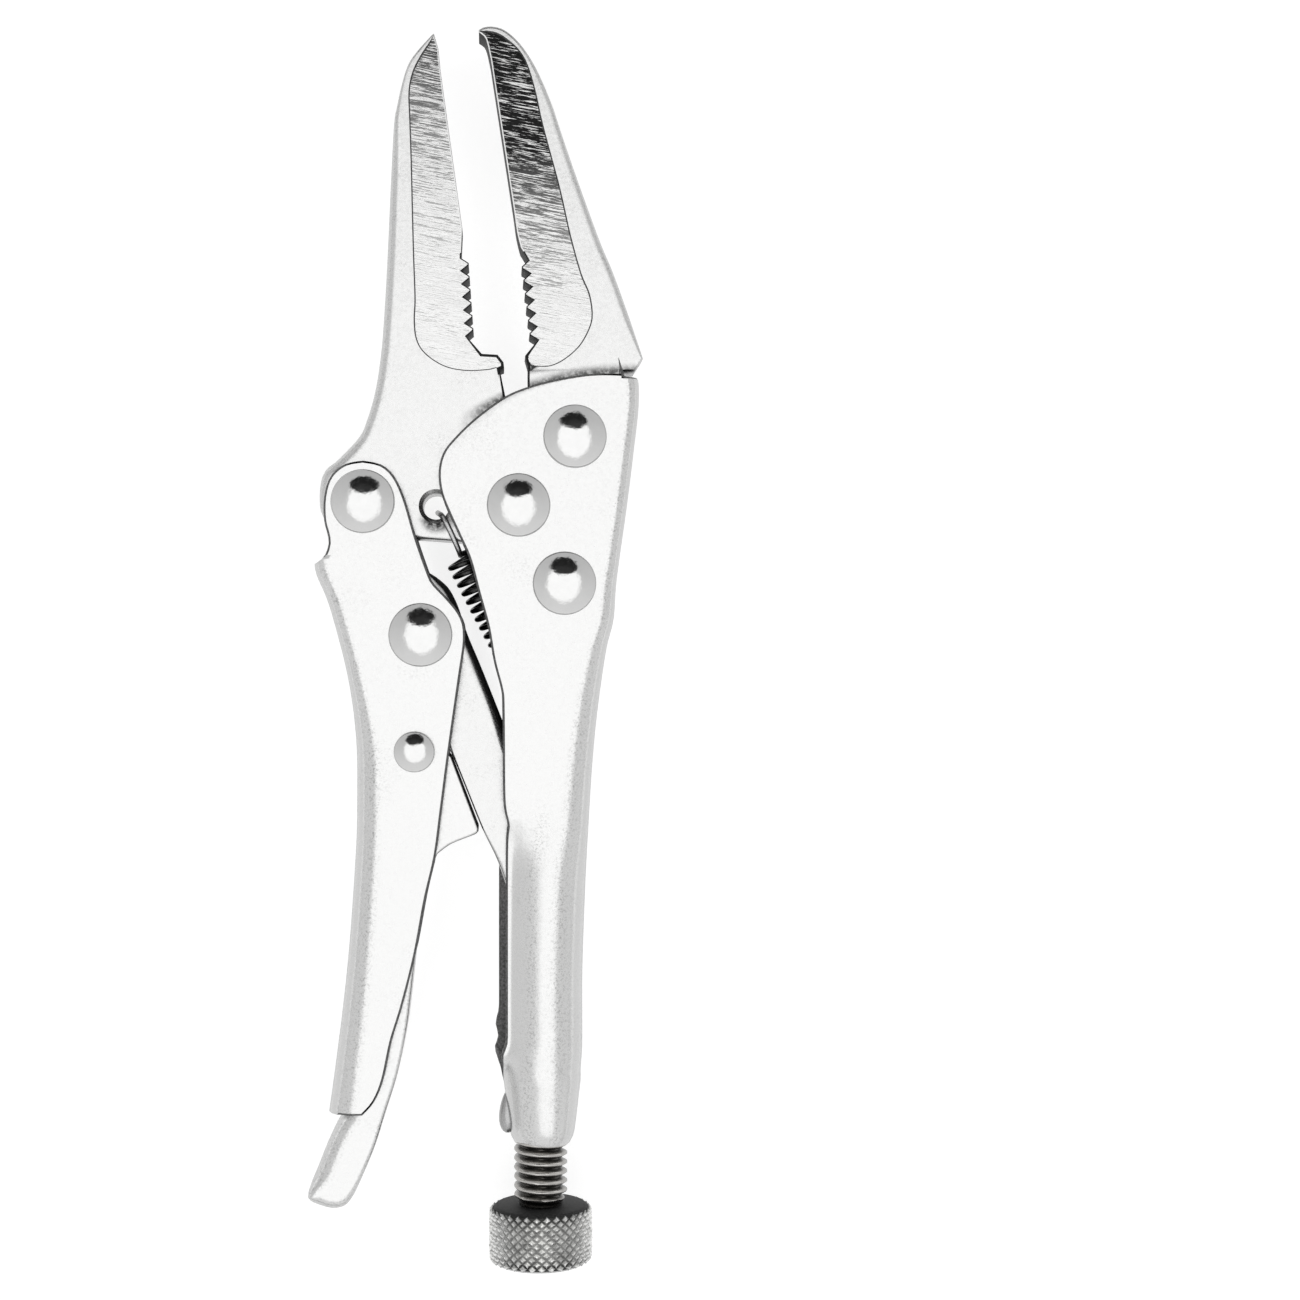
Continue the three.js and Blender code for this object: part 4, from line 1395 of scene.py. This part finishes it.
def coil_line():
    """The close coil, and its tail hooked into the handle's web."""
    axis = COIL_AXIS / np.linalg.norm(COIL_AXIS)
    across = np.array([axis[1], -axis[0], 0.0])
    up = np.array([0.0, 0.0, 1.0])
    coil = []
    for i in range(COIL_TURNS * COIL_STEPS + 1):
        angle = 2 * math.pi * i / COIL_STEPS
        along = COIL_PITCH * i / COIL_STEPS
        round_axis = up * COIL_R * math.cos(angle) - across * COIL_R * math.sin(angle)
        coil.append(COIL_START + axis * along + round_axis)
    end = COIL_START + axis * COIL_PITCH * COIL_TURNS
    slot = WEB_SLOT["top"]
    tail = [[end[0] + 1.6, end[1] - 2.6, 0.9], [12.6, slot - 3.0, 0.0], [14.0, slot - 3.3, 0.0],
            [15.1, slot - 3.4, 0.0]]
    return np.vstack([np.array(coil), smooth([coil[-1]] + tail, 0.35)[1:]])


def wire(name, line, finish):
    """A round wire along a line of points."""
    curve = bpy.data.curves.new("wire_line", "CURVE")
    curve.dimensions = "3D"
    spline = curve.splines.new("POLY")
    spline.points.add(len(line) - 1)
    for point, co in zip(spline.points, line):
        point.co = (*co, 1)
    path = add_object("wire_line", curve)
    tree = Tree(name + "_drawing", Radius=WIRE_R, Sides=10)
    source = tree.node("GeometryNodeObjectInfo", {"Object": path})
    section = tree.node("GeometryNodeCurvePrimitiveCircle", {"Resolution": tree.size("Sides"),
                                                             "Radius": tree.size("Radius")})
    swept = tree.node("GeometryNodeCurveToMesh", {"Curve": source.outputs["Geometry"],
                                                  "Profile Curve": section.outputs[0], "Fill Caps": True})
    tree.close(swept.outputs[0], finish)
    piece = blank_piece(name, finish)
    tree.run(piece)
    bpy.data.objects.remove(path)
    settle(piece)
    return piece


def tension_spring():
    """The coil stays with the handle; its upper hook swings with the jaw."""
    line = coil_line()
    coil = wire("tension_spring_coil", line, COIL_FINISH)
    finish_piece(coil, "handle", ["tension_spring"], sharp=60)
    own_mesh(coil)
    hook = wire("tension_spring_hook", hook_line(), HOOK_FINISH)
    finish_piece(hook, "jaw", ["tension_spring"], sharp=60)


# ---- studio ----

CAMERA_HEIGHT = 0.2974
CAMERA_X = 0.0025
CAMERA_Y = 0.00014
CAMERA_TILT = math.radians(4.14)
LENS = 59.2
FLOOR_SIZE = 60.0
WHITE_ACROSS = 0.66
WHITE_ALONG = 0.75
TENT_WHITE = 1.02
TENT_GREY = 0.58
OPENING_NORTH = 0.83
OPENING_ACROSS = 0.62
OPENING_ALONG = 0.46
OPENING_DARK = 0.97
NORTH_DIMMING = -0.13
LOWEST = 0.02
FLOOR_GLOW = 0.78


def studio_floor():
    mesh = bpy.data.meshes.new("studio_floor")
    half = FLOOR_SIZE / 2
    corners = [(-half, -half, 0), (half, -half, 0), (half, half, 0), (-half, half, 0)]
    mesh.from_pydata(corners, [], [(0, 1, 2, 3)])
    floor = add_object("studio_floor", mesh)
    finish = Finish("pale_floor", (0.45, 0.45, 0.45), 0.9, metallic=0.0)
    finish.set("Specular IOR Level", 0.1)
    finish.set("Emission Color", (1, 1, 1, 1))
    finish.set("Emission Strength", FLOOR_GLOW)
    mesh.materials.append(finish.material)


def studio_sky():
    """A soft tent of light: bright overhead, grey round the sides, with one dark opening beyond the nose."""
    world = bpy.data.worlds.new("light_tent")
    bpy.context.scene.world = world
    world.use_nodes = True
    tree = world.node_tree
    background = tree.nodes["Background"]
    direction = add_node(tree, "ShaderNodeTexCoord").outputs["Generated"]
    split = add_node(tree, "ShaderNodeSeparateXYZ", {0: direction})
    to_north = Reading(tree, split.outputs[1])
    height = Reading(tree, split.outputs[2]).most(LOWEST)
    east = abs(Reading(tree, split.outputs[0]) / height)
    north = to_north / height
    white = ((east / WHITE_ACROSS) ** 2.0 + (abs(north) / WHITE_ALONG) ** 2.0).range(1.4, 0.75)
    tent = white * (TENT_WHITE - TENT_GREY) + (to_north * (1.0 - white) * NORTH_DIMMING + TENT_GREY)
    beyond = (north - OPENING_NORTH) / OPENING_ALONG
    opening = ((east / OPENING_ACROSS) ** 2.0 + beyond * beyond).range(1.25, 0.7)
    feed(tree, background.inputs["Strength"], tent * (1.0 - opening * OPENING_DARK))
    background.inputs["Color"].default_value = (1, 1, 1, 1)


def soft_box(name, place_at, aim, size, watts):
    light = bpy.data.lights.new(name, "AREA")
    light.shape = "RECTANGLE"
    light.size = size[0]
    light.size_y = size[1]
    light.energy = watts
    lamp = add_object(name, light)
    lamp.location = place_at
    lamp.visible_glossy = False
    lamp.rotation_euler = (Vector(place_at) - Vector(aim)).to_track_quat("Z", "Y").to_euler()


def camera():
    data = bpy.data.cameras.new("camera")
    data.lens = LENS
    data.clip_start = 0.01
    eye = add_object("camera", data)
    eye.location = (CAMERA_X, CAMERA_Y, CAMERA_HEIGHT)
    eye.rotation_euler = (0, -CAMERA_TILT, 0)
    bpy.context.scene.camera = eye


camera()
studio_floor()
studio_sky()
soft_box("overhead_box", (0.0, -0.14, 0.75), (0.0, -0.14, 0.0), (0.5, 0.66), 0.17)
bpy.context.scene.view_settings.view_transform = "Standard"

fixed_handle()
seam_bead()
clamping_lever()
toggle_link()
release_lever()
fixed_jaw()
movable_jaw()
rivets()
adjusting_screw()
adjusting_knob()
tension_spring()
